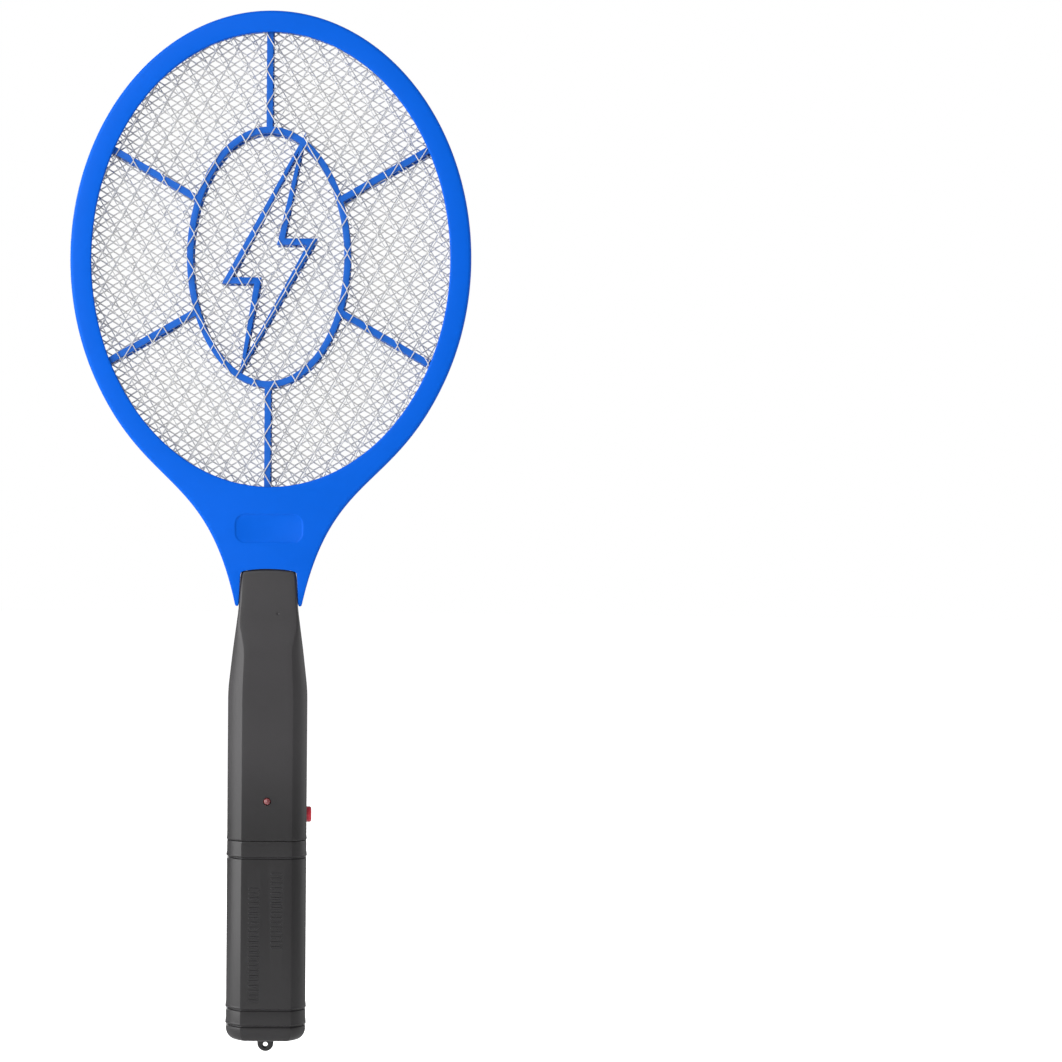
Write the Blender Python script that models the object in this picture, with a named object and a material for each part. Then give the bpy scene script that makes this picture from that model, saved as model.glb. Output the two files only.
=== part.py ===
"""Electric fly swatter: a racket head of three metal meshes in a plastic frame, and a battery handle.

Metres, +Z up along the handle with the head at the top, front towards -Y, push button on the +X side.
The origin is inside the handle, at the middle of the hand grip.
"""

import math

import bmesh
import bpy
from mathutils import Vector

GAP = 0.0003            # clearance between pieces that touch

# Head: outline, opening and thickness
HEAD_HALF_WIDTH = 0.0900
HEAD_HALF_HEIGHT = 0.1112
HEAD_Z = 0.2725
THROAT_START_DEG = -29.4
THROAT_TIP_X = 0.0149
THROAT_TIP_Z = 0.1167
THROAT_PULL_TOP = 0.0548
THROAT_PULL_TIP = 0.0621
THROAT_TIP_SLOPE = 0.221
OPENING_HALF_WIDTH = 0.0804
OPENING_HALF_HEIGHT = 0.1019
OPENING_Z = 0.2721
REAR_OPENING_EXTRA = 0.0020   # the rear half's opening is a little larger
HEAD_HALF_DEPTH = 0.0075
MOUTH_HALF = [(0.0138, 0.1120), (0.0129, 0.1302), (0.0123, 0.1326), (0.0, 0.1331)]   # cut for the neck
PAD_Z = 0.1515
PAD_HALF_WIDTH = 0.0154
PAD_HALF_HEIGHT = 0.0067
PAD_ROUND = 0.0045
LIP = 0.0016            # thickness of the frame's visible lip
REBATE = 0.0034         # how far the meshes and grilles reach under the lip

# Meshes and grilles, stacked from the front to the back
MESH_THICKNESS = 0.0005
OUTER_MESH_Y = 0.0053
RIB_FRONT_Y = 0.0047
RIB_BACK_Y = 0.0007
RIB_WIDTH = 0.0029
RIM_SETBACK = 0.0018      # the grille's rim stays this far behind the opening's edge
RIM_BITE = 0.0007         # how far the spokes run into the rim
FRONT_RIB_SHIFT = (-0.0009, 0.0)      # where the ribs stand in the front rim, across and up
REAR_RIB_SHIFT = (0.0002, -0.0004)    # and in the rear one
OVAL_Z = 0.2734
OVAL_HALF_WIDTH = 0.0368
OVAL_HALF_HEIGHT = 0.0586
BOLT_Z = 0.2725
BOLT_CORNERS = [(0.01485, 0.0530), (0.0054, 0.0079), (0.0195, 0.0079),
                (-0.0115, -0.0483), (-0.0048, -0.0097), (-0.0186, -0.0097)]
SPOKE_LEAN_DEG = 30.0
SPOKE_FOOT = (0.0318, 0.0250)         # where a leaning spoke leaves the oval, from its middle
SPOKE_Z = 0.2742
TAB_WIDTH = 0.005
TAB_END_Z = 0.160

# Handle: octagonal section, wide at the grip and narrow at the neck
GRIP_HALF_WIDTH = 0.0178
GRIP_HALF_DEPTH = 0.0125
GRIP_BEVEL = 0.0064
CORNER = 0.0007
GRIP_TOP_Z = 0.0793
CREASE_Z = 0.0970
CREASE_HALF_WIDTH = 0.0158
BEVEL_END_Z = 0.1090
BEVEL_END_HALF_WIDTH = 0.0142
HORN_Z = 0.1167
HORN_HALF_WIDTH = 0.0132
NECK_TOP_Z = 0.1318
NECK_HALF_WIDTH = 0.0126
NECK_HALF_DEPTH = 0.0066
SHELL_WALL = 0.0020
TONGUE_TOP_Z = 0.1520
TONGUE_HALF_WIDTH = 0.0095
TONGUE_HALF_DEPTH = 0.0052

# Battery cover: a sleeve closed at the bottom
COVER_TOP_Z = 0.0119
COVER_BOTTOM_Z = -0.0774
COVER_FLOOR = 0.0026
COVER_ROUND = 0.0052
COVER_DEPTH_SHARE = 0.4   # how much of the rounding also shows in the depth and in the bevels
COVER_BEVEL_SHARE = 0.6
GROOVE_Z = (0.0043, -0.0635, -0.0708)
GROOVE_DEPTH = 0.0006
GROOVE_HALF_WIDTH = 0.0008
SPIGOT_BOTTOM_Z = 0.0030
LOOP_TIP_Z = -0.0838
LOOP_HOLE_Z = -0.0807
LOOP_HOLE_RADIUS = 0.0011

# Controls and what is inside the handle
LED_Z = 0.0298
LED_RADIUS = 0.0015
BUTTON_Z = 0.0230
BUTTON_RADIUS = 0.0035
BUTTON_PROUD = 0.0022
BOARD_Y = 0.0020
BOARD_THICKNESS = 0.0016
BOARD_HALF_WIDTH = 0.0110
BOARD_LOW_Z = 0.0188
BOARD_HIGH_Z = 0.0820
CELL_RADIUS = 0.00715
CELL_X = 0.0074
CELL_LOW_Z = -0.0664
CELL_LENGTH = 0.0495
CELL_NUB = 0.0010
LEAD_RADIUS = 0.00055

# Screws
SCREW_RADIUS = 0.0010
SCREW_HEAD_RADIUS = 0.0018
SCREW_HEAD_HEIGHT = 0.0014
RING_SCREW_REACH = 0.0060
RING_SCREW_ANGLES = (120.0, 60.0, 0.0, -66.0, -114.0, 180.0)
THROAT_SCREW_X = 0.0062
THROAT_SCREW_Z = 0.1430
HANDLE_SCREW_Z = (0.1000, 0.0153)
HANDLE_SCREW_SEAT = 0.0085
POST_REACH = 0.0106
FRONT_POST_RADIUS = 0.0028
REAR_POST_RADIUS = 0.0031


def clear_scene():
    for item in list(bpy.data.objects):
        bpy.data.objects.remove(item, do_unlink=True)


def material(name, colour, roughness, metallic=0.0):
    made = bpy.data.materials.new(name)
    made.use_nodes = True
    shader = made.node_tree.nodes["Principled BSDF"]
    shader.inputs["Base Color"].default_value = (*colour, 1.0)
    shader.inputs["Roughness"].default_value = roughness
    shader.inputs["Metallic"].default_value = metallic
    return made


def add_object(name, bm, finish, sharp_deg=35.0):
    """Makes an object of a bmesh, with its faces pointing out."""
    bmesh.ops.recalc_face_normals(bm, faces=bm.faces[:])
    mesh = bpy.data.meshes.new(name)
    bm.to_mesh(mesh)
    bm.free()
    mesh.shade_smooth()
    mesh.set_sharp_from_angle(angle=math.radians(sharp_deg))
    made = bpy.data.objects.new(name, mesh)
    bpy.context.scene.collection.objects.link(made)
    if finish is not None:
        mesh.materials.append(finish)
    return made


def cutter(name, bm):
    """A guide solid, left out of the model."""
    made = add_object(name, bm, None)
    made.hide_render = True
    made.display_type = 'WIRE'
    return made


def combine(target, other, operation='DIFFERENCE'):
    step = target.modifiers.new(other.name, 'BOOLEAN')
    step.operation = operation
    step.solver = 'EXACT'
    step.object = other


def loft(rings):
    """Closed solid through rings of equally many points, capped at both ends."""
    bm = bmesh.new()
    rows = []
    for ring in rings:
        rows.append([bm.verts.new(point) for point in ring])
    count = len(rows[0])
    for low, high in zip(rows, rows[1:]):
        for i in range(count):
            j = (i + 1) % count
            bm.faces.new((low[i], low[j], high[j], high[i]))
    bm.faces.new(rows[0])
    bm.faces.new(rows[-1])
    return bm


def block(low, high):
    (x0, y0, z0), (x1, y1, z1) = low, high
    square = [(x0, y0), (x1, y0), (x1, y1), (x0, y1)]
    return loft([[Vector((x, y, z)) for x, y in square] for z in (z0, z1)])


def turned(stations, centre, axis='Z', sides=20):
    """Solid of revolution: stations are (distance along the axis, radius)."""
    rings = []
    for along, radius in stations:
        ring = []
        for i in range(sides):
            angle = 2 * math.pi * i / sides
            u = radius * math.cos(angle)
            v = radius * math.sin(angle)
            local = {'X': (along, u, v), 'Y': (u, along, v), 'Z': (u, v, along)}[axis]
            ring.append(Vector(centre) + Vector(local))
        rings.append(ring)
    return loft(rings)


def plate(outline, levels):
    """Solid from an outline in x and z; levels are (y, inset)."""
    rings = []
    for y, inset in levels:
        points = offset(outline, inset) if inset else outline
        rings.append([Vector((x, y, z)) for x, z in points])
    return loft(rings)


def offset(points, inset):
    """Moves a counter-clockwise outline inwards along its own normals."""
    moved = []
    count = len(points)
    for i, (x, z) in enumerate(points):
        ax, az = points[i - 1]
        bx, bz = points[(i + 1) % count]
        run = math.hypot(bx - ax, bz - az)
        nx, nz = -(bz - az) / run, (bx - ax) / run
        ex, ez = bx - x, bz - z
        turn = abs(nx * -ez + nz * ex) / max(math.hypot(ex, ez), 1e-9)
        reach = inset / max(turn, 0.5)
        moved.append((x + nx * reach, z + nz * reach))
    return moved


def ellipse(half_width, half_height, centre_z, count, start=0.0, end=360.0, ends=False):
    last = count - 1 if ends else count
    points = []
    for i in range(count):
        angle = math.radians(start + (end - start) * i / last)
        points.append((half_width * math.cos(angle), centre_z + half_height * math.sin(angle)))
    return points


def bezier(a, b, c, d, count):
    points = []
    for i in range(1, count + 1):
        t = i / count
        s = 1 - t
        weights = (s ** 3, 3 * s * s * t, 3 * s * t * t, t ** 3)
        points.append(tuple(sum(w * p[k] for w, p in zip(weights, (a, b, c, d))) for k in (0, 1)))
    return points


def head_outline():
    """Counter-clockwise: up the right side of the throat, round the ellipse and down the left side."""
    start = math.radians(THROAT_START_DEG)
    top = (HEAD_HALF_WIDTH * math.cos(start), HEAD_Z + HEAD_HALF_HEIGHT * math.sin(start))
    down = Vector((HEAD_HALF_WIDTH * math.sin(start), -HEAD_HALF_HEIGHT * math.cos(start))).normalized()
    up = Vector((THROAT_TIP_SLOPE, 1.0)).normalized()
    tip = (THROAT_TIP_X, THROAT_TIP_Z)
    pull_top = (top[0] + down.x * THROAT_PULL_TOP, top[1] + down.y * THROAT_PULL_TOP)
    pull_tip = (tip[0] + up.x * THROAT_PULL_TIP, tip[1] + up.y * THROAT_PULL_TIP)
    right = bezier(top, pull_top, pull_tip, tip, 14)
    arc = ellipse(HEAD_HALF_WIDTH, HEAD_HALF_HEIGHT, HEAD_Z, 45,
                  THROAT_START_DEG, 180.0 - THROAT_START_DEG, ends=True)
    left = [(-x, z) for x, z in right]
    return list(reversed(right)) + arc + left


def opening_outline(grow, count=48):
    return ellipse(OPENING_HALF_WIDTH + grow, OPENING_HALF_HEIGHT + grow, OPENING_Z, count)


def ring_screw_places():
    reach = RING_SCREW_REACH
    places = []
    for degrees in RING_SCREW_ANGLES:
        angle = math.radians(degrees)
        places.append(((OPENING_HALF_WIDTH + reach) * math.cos(angle),
                       OPENING_Z + (OPENING_HALF_HEIGHT + reach) * math.sin(angle)))
    return places


def head_frame(name, side, finish):
    """One half of the head's shell; side is -1 for the front and +1 for the rear."""
    skin = HEAD_HALF_DEPTH
    levels = [(side * skin, 0.0020), (side * (skin - 0.0008), 0.0005), (side * (skin - 0.0024), 0.0),
              (side * GAP / 2, 0.0)]
    frame = add_object(name, plate(head_outline(), levels), finish)

    rim = [(side * (skin + 0.001), 0.0010), (side * (skin - 0.0001), 0.0008), (side * (skin - 0.0011), 0.0),
           (-side * 0.001, 0.0)]
    extra = REAR_OPENING_EXTRA if side > 0 else 0.0
    rings = [[Vector((x, y, z)) for x, z in opening_outline(grow + extra)] for y, grow in rim]
    combine(frame, cutter(name + "_opening", loft(rings)))

    inner = side * (skin - LIP)
    rings = [[Vector((x, y, z)) for x, z in opening_outline(REBATE)] for y in (inner, -side * 0.001)]
    combine(frame, cutter(name + "_rebate", loft(rings)))

    pocket = [(-0.0128, 0.112), (0.0128, 0.112), (0.0128, 0.152), (0.0210, 0.176), (-0.0210, 0.176),
              (-0.0128, 0.152)]
    combine(frame, cutter(name + "_pocket", plate(pocket, [(inner, 0.0), (-side * 0.001, 0.0)])))

    mouth = MOUTH_HALF + [(-x, z) for x, z in reversed(MOUTH_HALF) if x > 0]
    reach = [(side * (skin + 0.001), 0.0), (-side * 0.001, 0.0)]
    combine(frame, cutter(name + "_mouth", plate(mouth, reach)))

    if side < 0:
        pad = []
        for corner, (x, z) in enumerate(((1, 1), (-1, 1), (-1, -1), (1, -1))):
            for step in range(4):
                angle = math.radians(90 * corner + 30 * step)
                pad.append((x * (PAD_HALF_WIDTH - PAD_ROUND) + PAD_ROUND * math.cos(angle),
                            PAD_Z + z * (PAD_HALF_HEIGHT - PAD_ROUND) + PAD_ROUND * math.sin(angle)))
        recess = [(-skin - 0.001, 0.0), (-skin + 0.0005, 0.0)]
        combine(frame, cutter(name + "_pad", plate(pad, recess)))
        for x in (-THROAT_SCREW_X, THROAT_SCREW_X):
            boss = turned([(-skin + LIP - 0.0003, 0.0022), (-TONGUE_HALF_DEPTH + 0.0021, 0.0022)],
                          (x, 0.0, THROAT_SCREW_Z), 'Y', 16)
            combine(frame, cutter(name + "_boss_%d" % (x > 0), boss), 'UNION')
            bore = turned([(-skin + LIP + 0.0003, SCREW_RADIUS + GAP), (0.001, SCREW_RADIUS + GAP)],
                          (x, 0.0, THROAT_SCREW_Z), 'Y', 12)
            combine(frame, cutter(name + "_bore_%d" % (x > 0), bore))
        for number, (x, z) in enumerate(ring_screw_places(), 1):
            bore = turned([(-0.0045, SCREW_RADIUS + GAP), (0.001, SCREW_RADIUS + GAP)], (x, 0.0, z), 'Y', 10)
            combine(frame, cutter(name + "_ring_bore_%d" % number, bore))
    else:
        places = ring_screw_places() + [(x, THROAT_SCREW_Z) for x in (-THROAT_SCREW_X, THROAT_SCREW_X)]
        for number, (x, z) in enumerate(places, 1):
            sink = skin - SCREW_HEAD_HEIGHT - 0.0004
            hole = turned([(-0.001, SCREW_RADIUS + GAP), (sink, SCREW_RADIUS + GAP),
                           (sink, SCREW_HEAD_RADIUS + GAP), (skin + 0.001, SCREW_HEAD_RADIUS + GAP)],
                          (x, 0.0, z), 'Y', 12)
            combine(frame, cutter(name + "_screw_hole_%d" % number, hole))
    return frame


def bar(start, end, width, y_front, y_back):
    """A straight rib between two points in x and z."""
    run = Vector(end) - Vector(start)
    side = Vector((-run.y, run.x)).normalized() * width / 2
    a, b = Vector(start), Vector(end)
    corners = [a - side, b - side, b + side, a + side]
    return plate([(p.x, p.y) for p in corners], [(y_front, 0.0), (y_back, 0.0)])


def hoop(name, outer, inner, y_front, y_back, finish):
    ring = add_object(name, plate(outer, [(y_front, 0.0), (y_back, 0.0)]), finish)
    margin = 0.001 if y_back > y_front else -0.001
    hole = plate(inner, [(y_front - margin, 0.0), (y_back + margin, 0.0)])
    combine(ring, cutter(name + "_hole", hole))
    return ring


def to_oval(start, slope, grow):
    """Where a line that starts inside the opening crosses its oval grown by this much."""
    half_width, half_height = OPENING_HALF_WIDTH + grow, OPENING_HALF_HEIGHT + grow
    x, z = start[0], start[1] - OPENING_Z
    dx, dz = slope
    a = (dx / half_width) ** 2 + (dz / half_height) ** 2
    b = 2 * (x * dx / half_width ** 2 + z * dz / half_height ** 2)
    c = (x / half_width) ** 2 + (z / half_height) ** 2 - 1
    t = (math.sqrt(b * b - 4 * a * c) - b) / (2 * a)
    return (start[0] + dx * t, start[1] + dz * t)


def grille(name, side, shift, finish):
    """Insulating rib plate between two meshes: rim, oval hoop, six spokes and a zigzag."""
    front = side * RIB_FRONT_Y
    back = side * RIB_BACK_Y
    across, up = shift
    rim_outer = opening_outline(REBATE - GAP)
    rim_inner = opening_outline(RIM_SETBACK)
    made = hoop(name, rim_outer, rim_inner, front, back, finish)

    oval = shifted(ellipse(OVAL_HALF_WIDTH, OVAL_HALF_HEIGHT, OVAL_Z, 40), shift)
    oval_hole = shifted(ellipse(OVAL_HALF_WIDTH - RIB_WIDTH, OVAL_HALF_HEIGHT - RIB_WIDTH, OVAL_Z, 40),
                        shift)
    band = hoop(name + "_oval", oval, oval_hole, front, back, None)
    band.hide_render = True
    band.display_type = 'WIRE'
    combine(made, band, 'UNION')

    reach = OVAL_HALF_HEIGHT - 0.4 * RIB_WIDTH
    feet = [(across, up + OVAL_Z + reach), (across, up + OVAL_Z - reach)]
    slopes = [(0.0, 1.0), (0.0, -1.0)]
    lean = math.radians(SPOKE_LEAN_DEG)
    for right in (-1, 1):
        for upper in (-1, 1):
            feet.append((across + right * SPOKE_FOOT[0], up + SPOKE_Z + upper * SPOKE_FOOT[1]))
            slopes.append((right * math.cos(lean), upper * math.sin(lean)))
    for number, (foot, slope) in enumerate(zip(feet, slopes), 1):
        end = to_oval(foot, slope, RIM_SETBACK + RIM_BITE)
        spoke = cutter(name + "_spoke_%d" % number, bar(foot, end, RIB_WIDTH, front, back))
        combine(made, spoke, 'UNION')

    zigzag = cutter(name + "_zigzag", zigzag_rib(front, back, shift))
    combine(made, zigzag, 'UNION')
    return made


def zigzag_rib(front, back, shift):
    """A rib along the sides of a bolt shape; its two points run into the oval."""
    loop = shifted([(x, BOLT_Z + z) for x, z in BOLT_CORNERS], shift)
    outer = mitred(loop, RIB_WIDTH / 2)
    inner = mitred(loop, -RIB_WIDTH / 2)
    bm = bmesh.new()
    layers = []
    for y in (front, back):
        for ring in (outer, inner):
            layers.append([bm.verts.new((x, y, z)) for x, z in ring])
    count = len(loop)
    for i in range(count):
        j = (i + 1) % count
        a, b, c, d = layers
        bm.faces.new((a[i], a[j], b[j], b[i]))
        bm.faces.new((c[i], c[j], d[j], d[i]))
        bm.faces.new((a[i], a[j], c[j], c[i]))
        bm.faces.new((b[i], b[j], d[j], d[i]))
    return bm


def shifted(points, shift):
    return [(x + shift[0], z + shift[1]) for x, z in points]


def mitred(points, reach):
    """Offsets a closed line of straight runs, keeping each run's width at the corners."""
    moved = []
    count = len(points)
    for i in range(count):
        before = Vector(points[i]) - Vector(points[i - 1])
        after = Vector(points[(i + 1) % count]) - Vector(points[i])
        n1 = Vector((-before.y, before.x)).normalized()
        n2 = Vector((-after.y, after.x)).normalized()
        middle = (n1 + n2).normalized()
        length = min(1 / max(middle.dot(n1), 0.2), 3.0)
        moved.append(tuple(Vector(points[i]) + middle * reach * length))
    return moved


def mesh_sheet(name, y, tab_x, finish):
    """One metal mesh as a thin plate with a solder tab that reaches into the throat."""
    low = y - MESH_THICKNESS / 2
    high = y + MESH_THICKNESS / 2
    outline = opening_outline(REBATE - GAP)
    sheet = add_object(name, plate(outline, [(low, 0.0), (high, 0.0)]), finish)
    bottom = OPENING_Z - OPENING_HALF_HEIGHT
    tab = block((tab_x - TAB_WIDTH / 2, low, TAB_END_Z), (tab_x + TAB_WIDTH / 2, high, bottom))
    combine(sheet, cutter(name + "_tab", tab), 'UNION')
    return sheet


def octagon(half_width, half_depth, bevel, z, inset=0.0):
    """A handle section: four flats, four bevels and small rounded corners."""
    w = half_width - inset
    d = half_depth - inset
    b = max(bevel - inset * (2 - math.sqrt(2)), 0.0008)
    corners = [(w, -d + b), (w, d - b), (w - b, d), (-w + b, d), (-w, d - b), (-w, -d + b), (-w + b, -d),
               (w - b, -d)]
    ring = []
    count = len(corners)
    for i, corner in enumerate(corners):
        here = Vector(corner)
        for other in (Vector(corners[i - 1]), Vector(corners[(i + 1) % count])):
            step = other - here
            ring.append(here + step.normalized() * min(CORNER, step.length * 0.35))
    return [Vector((p.x, p.y, z)) for p in ring]


def handle_stations():
    """Half width, half depth and bevel of the handle from the cover up to the neck's top."""
    return [(COVER_TOP_Z + GAP, GRIP_HALF_WIDTH, GRIP_HALF_DEPTH, GRIP_BEVEL),
            (GRIP_TOP_Z, GRIP_HALF_WIDTH, GRIP_HALF_DEPTH, GRIP_BEVEL),
            (CREASE_Z, CREASE_HALF_WIDTH, GRIP_HALF_DEPTH, 0.0052),
            (BEVEL_END_Z, BEVEL_END_HALF_WIDTH, 0.0104, 0.0012),
            (HORN_Z, HORN_HALF_WIDTH, 0.0093, 0.0010),
            (NECK_TOP_Z - 0.0020, NECK_HALF_WIDTH, 0.0070, 0.0010),
            (NECK_TOP_Z, NECK_HALF_WIDTH - 0.0004, NECK_HALF_DEPTH, 0.0012)]


def handle_solid(inset, low=None, high=None):
    rings = []
    for z, width, depth, bevel in handle_stations():
        rings.append(octagon(width, depth, bevel, z, inset))
    if low is not None:
        for point in rings[0]:
            point.z = low
    if high is not None:
        for point in rings[-1]:
            point.z = high
    return loft(rings)


def handle_shell(name, side, finish):
    """One half of the handle; side is -1 for the front and +1 for the rear."""
    shell = add_object(name, handle_solid(0.0), finish)

    tongue = block((-TONGUE_HALF_WIDTH, -TONGUE_HALF_DEPTH, NECK_TOP_Z - 0.002),
                   (TONGUE_HALF_WIDTH, TONGUE_HALF_DEPTH, TONGUE_TOP_Z))
    combine(shell, cutter(name + "_tongue", tongue), 'UNION')

    spigot = loft([octagon(GRIP_HALF_WIDTH, GRIP_HALF_DEPTH, GRIP_BEVEL, z, SHELL_WALL + GAP)
                   for z in (SPIGOT_BOTTOM_Z, COVER_TOP_Z + 0.002)])
    combine(shell, cutter(name + "_spigot", spigot), 'UNION')

    combine(shell, cutter(name + "_hollow", handle_solid(SHELL_WALL, COVER_TOP_Z + 0.003, 0.1290)))
    throat = loft([octagon(GRIP_HALF_WIDTH, GRIP_HALF_DEPTH, GRIP_BEVEL, z, 2 * SHELL_WALL + GAP)
                   for z in (SPIGOT_BOTTOM_Z - 0.001, COVER_TOP_Z + 0.004)])
    combine(shell, cutter(name + "_spigot_bore", throat))
    channel = block((-0.0035, -0.0034, 0.1280), (0.0035, 0.0034, TONGUE_TOP_Z + 0.001))
    combine(shell, cutter(name + "_channel", channel))

    if side < 0:
        for x in (-THROAT_SCREW_X, THROAT_SCREW_X):
            seat = turned([(-0.010, 0.0025), (0.001, 0.0025)], (x, 0.0, THROAT_SCREW_Z), 'Y', 16)
            combine(shell, cutter(name + "_seat_%d" % (x > 0), seat))
        for number, z in enumerate(HANDLE_SCREW_Z, 1):
            post = turned([(-POST_REACH, FRONT_POST_RADIUS), (0.001, FRONT_POST_RADIUS)],
                          (0.0, 0.0, z), 'Y', 16)
            combine(shell, cutter(name + "_post_%d" % number, post), 'UNION')
            bore = turned([(-0.0075, SCREW_RADIUS + GAP), (0.002, SCREW_RADIUS + GAP)], (0.0, 0.0, z), 'Y', 12)
            combine(shell, cutter(name + "_bore_%d" % number, bore))
        window = turned([(-0.0200, LED_RADIUS + GAP), (-0.0080, LED_RADIUS + GAP)], (0.0, 0.0, LED_Z), 'Y', 20)
        combine(shell, cutter(name + "_window", window))
    else:
        for x in (-THROAT_SCREW_X, THROAT_SCREW_X):
            hole = turned([(-0.001, SCREW_RADIUS + GAP), (0.010, SCREW_RADIUS + GAP)],
                          (x, 0.0, THROAT_SCREW_Z), 'Y', 12)
            combine(shell, cutter(name + "_hole_%d" % (x > 0), hole))
        for number, z in enumerate(HANDLE_SCREW_Z, 1):
            post = turned([(-0.001, REAR_POST_RADIUS), (POST_REACH, REAR_POST_RADIUS)], (0.0, 0.0, z), 'Y', 16)
            combine(shell, cutter(name + "_post_%d" % number, post), 'UNION')
            seat = HANDLE_SCREW_SEAT
            hole = turned([(-0.002, SCREW_RADIUS + GAP), (seat, SCREW_RADIUS + GAP),
                           (seat, SCREW_HEAD_RADIUS + GAP), (0.020, SCREW_HEAD_RADIUS + GAP)],
                          (0.0, 0.0, z), 'Y', 14)
            combine(shell, cutter(name + "_hole_%d" % number, hole))

    port = turned([(0.010, BUTTON_RADIUS + GAP), (0.025, BUTTON_RADIUS + GAP)], (0.0, 0.0, BUTTON_Z), 'X', 24)
    combine(shell, cutter(name + "_port", port))

    near = side * GAP / 2
    far = -side * 0.03
    half = block((-0.05, min(near, far), -0.1), (0.05, max(near, far), 0.2))
    combine(shell, cutter(name + "_other_half", half))
    return shell


def screw(name, x, z, head_y, tip_y, finish):
    """A pan-head screw driven from the rear, with a cross slot in its head."""
    stations = [(tip_y, SCREW_RADIUS * 0.6), (tip_y + 0.001, SCREW_RADIUS), (head_y, SCREW_RADIUS),
                (head_y, SCREW_HEAD_RADIUS), (head_y + SCREW_HEAD_HEIGHT * 0.6, SCREW_HEAD_RADIUS),
                (head_y + SCREW_HEAD_HEIGHT, SCREW_HEAD_RADIUS * 0.7)]
    made = add_object(name, turned(stations, (x, 0.0, z), 'Y', 12), finish)
    top = head_y + SCREW_HEAD_HEIGHT
    for number, (w, h) in enumerate(((0.0010, 0.0002), (0.0002, 0.0010)), 1):
        slot = block((x - w, top - 0.0006, z - h), (x + w, top + 0.001, z + h))
        combine(made, cutter(name + "_slot_%d" % number, slot))
    return made


def cover_stations():
    """Height and inset of the cover's outside, from the rounded bottom up, with its grooves."""
    steps = 6
    heights = [(COVER_BOTTOM_Z + COVER_ROUND * (1 - math.cos(math.pi / 2 * i / steps)), 0.0)
               for i in range(steps)]
    for z in GROOVE_Z:
        heights += [(z - GROOVE_HALF_WIDTH, 0.0), (z - GROOVE_HALF_WIDTH * 0.3, GROOVE_DEPTH),
                    (z + GROOVE_HALF_WIDTH * 0.3, GROOVE_DEPTH), (z + GROOVE_HALF_WIDTH, 0.0)]
    heights += [(COVER_TOP_Z - 0.0004, 0.0), (COVER_TOP_Z, 0.0003)]
    stations = []
    for z, groove in sorted(heights):
        below = max(0.0, 1 - (z - COVER_BOTTOM_Z) / COVER_ROUND)
        stations.append((z, groove + COVER_ROUND * (1 - math.sqrt(1 - below * below))))
    return stations


def battery_cover(finish):
    rings = []
    for z, inset in cover_stations():
        width = GRIP_HALF_WIDTH - inset
        depth = GRIP_HALF_DEPTH - inset * COVER_DEPTH_SHARE
        rings.append(octagon(width, depth, GRIP_BEVEL - inset * COVER_BEVEL_SHARE, z))
    cover = add_object("battery_cover", loft(rings), finish)
    floor = COVER_BOTTOM_Z + COVER_FLOOR
    rings = []
    for z, inset in ((floor, 0.0030), (floor + 0.0030, 0.0), (COVER_TOP_Z + 0.001, 0.0)):
        rings.append(octagon(GRIP_HALF_WIDTH, GRIP_HALF_DEPTH, GRIP_BEVEL, z, SHELL_WALL + inset))
    combine(cover, cutter("battery_cover_hollow", loft(rings)))
    stem = block((-0.0023, -0.0018, COVER_BOTTOM_Z - 0.002), (0.0023, 0.0018, floor + 0.002))
    combine(cover, cutter("battery_cover_slot", stem))
    return cover


def hanging_loop(finish):
    """A flat eyelet whose stem is pressed through the cover's bottom."""
    half = 0.00365
    centre = LOOP_TIP_Z + half
    outline = ellipse(half, half, centre, 13, 180.0, 360.0, ends=True)
    outline += [(half, COVER_BOTTOM_Z - GAP), (0.0020, COVER_BOTTOM_Z - GAP),
                (0.0020, COVER_BOTTOM_Z + COVER_FLOOR), (-0.0020, COVER_BOTTOM_Z + COVER_FLOOR),
                (-0.0020, COVER_BOTTOM_Z - GAP), (-half, COVER_BOTTOM_Z - GAP)]
    loop = add_object("hanging_loop", plate(outline, [(-0.0015, 0.0), (0.0015, 0.0)]), finish)
    hole = turned([(-0.003, LOOP_HOLE_RADIUS), (0.003, LOOP_HOLE_RADIUS)], (0.0, 0.0, LOOP_HOLE_Z), 'Y', 20)
    combine(loop, cutter("hanging_loop_hole", hole))
    return loop


def button_parts(cap_finish, plunger_finish):
    """The cap with its retaining flange, and the switch's plunger behind it."""
    outside = GRIP_HALF_WIDTH + BUTTON_PROUD
    inside = GRIP_HALF_WIDTH - SHELL_WALL - 0.0018
    flange = inside + 0.0010
    stations = [(inside, BUTTON_RADIUS + 0.0010), (flange, BUTTON_RADIUS + 0.0010), (flange, BUTTON_RADIUS),
                (outside - 0.0005, BUTTON_RADIUS), (outside, BUTTON_RADIUS - 0.0006)]
    button = add_object("push_button", turned([(a - outside, r) for a, r in stations], (0, 0, 0), 'X', 24),
                        cap_finish)
    button.location = (outside, 0.0, BUTTON_Z)
    plunger = add_object("switch_plunger", turned([(-0.0030, 0.0012), (-GAP, 0.0012)], (0, 0, 0), 'X', 14),
                         plunger_finish)
    plunger.location = (inside, 0.0, BUTTON_Z)
    return button, plunger


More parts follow.
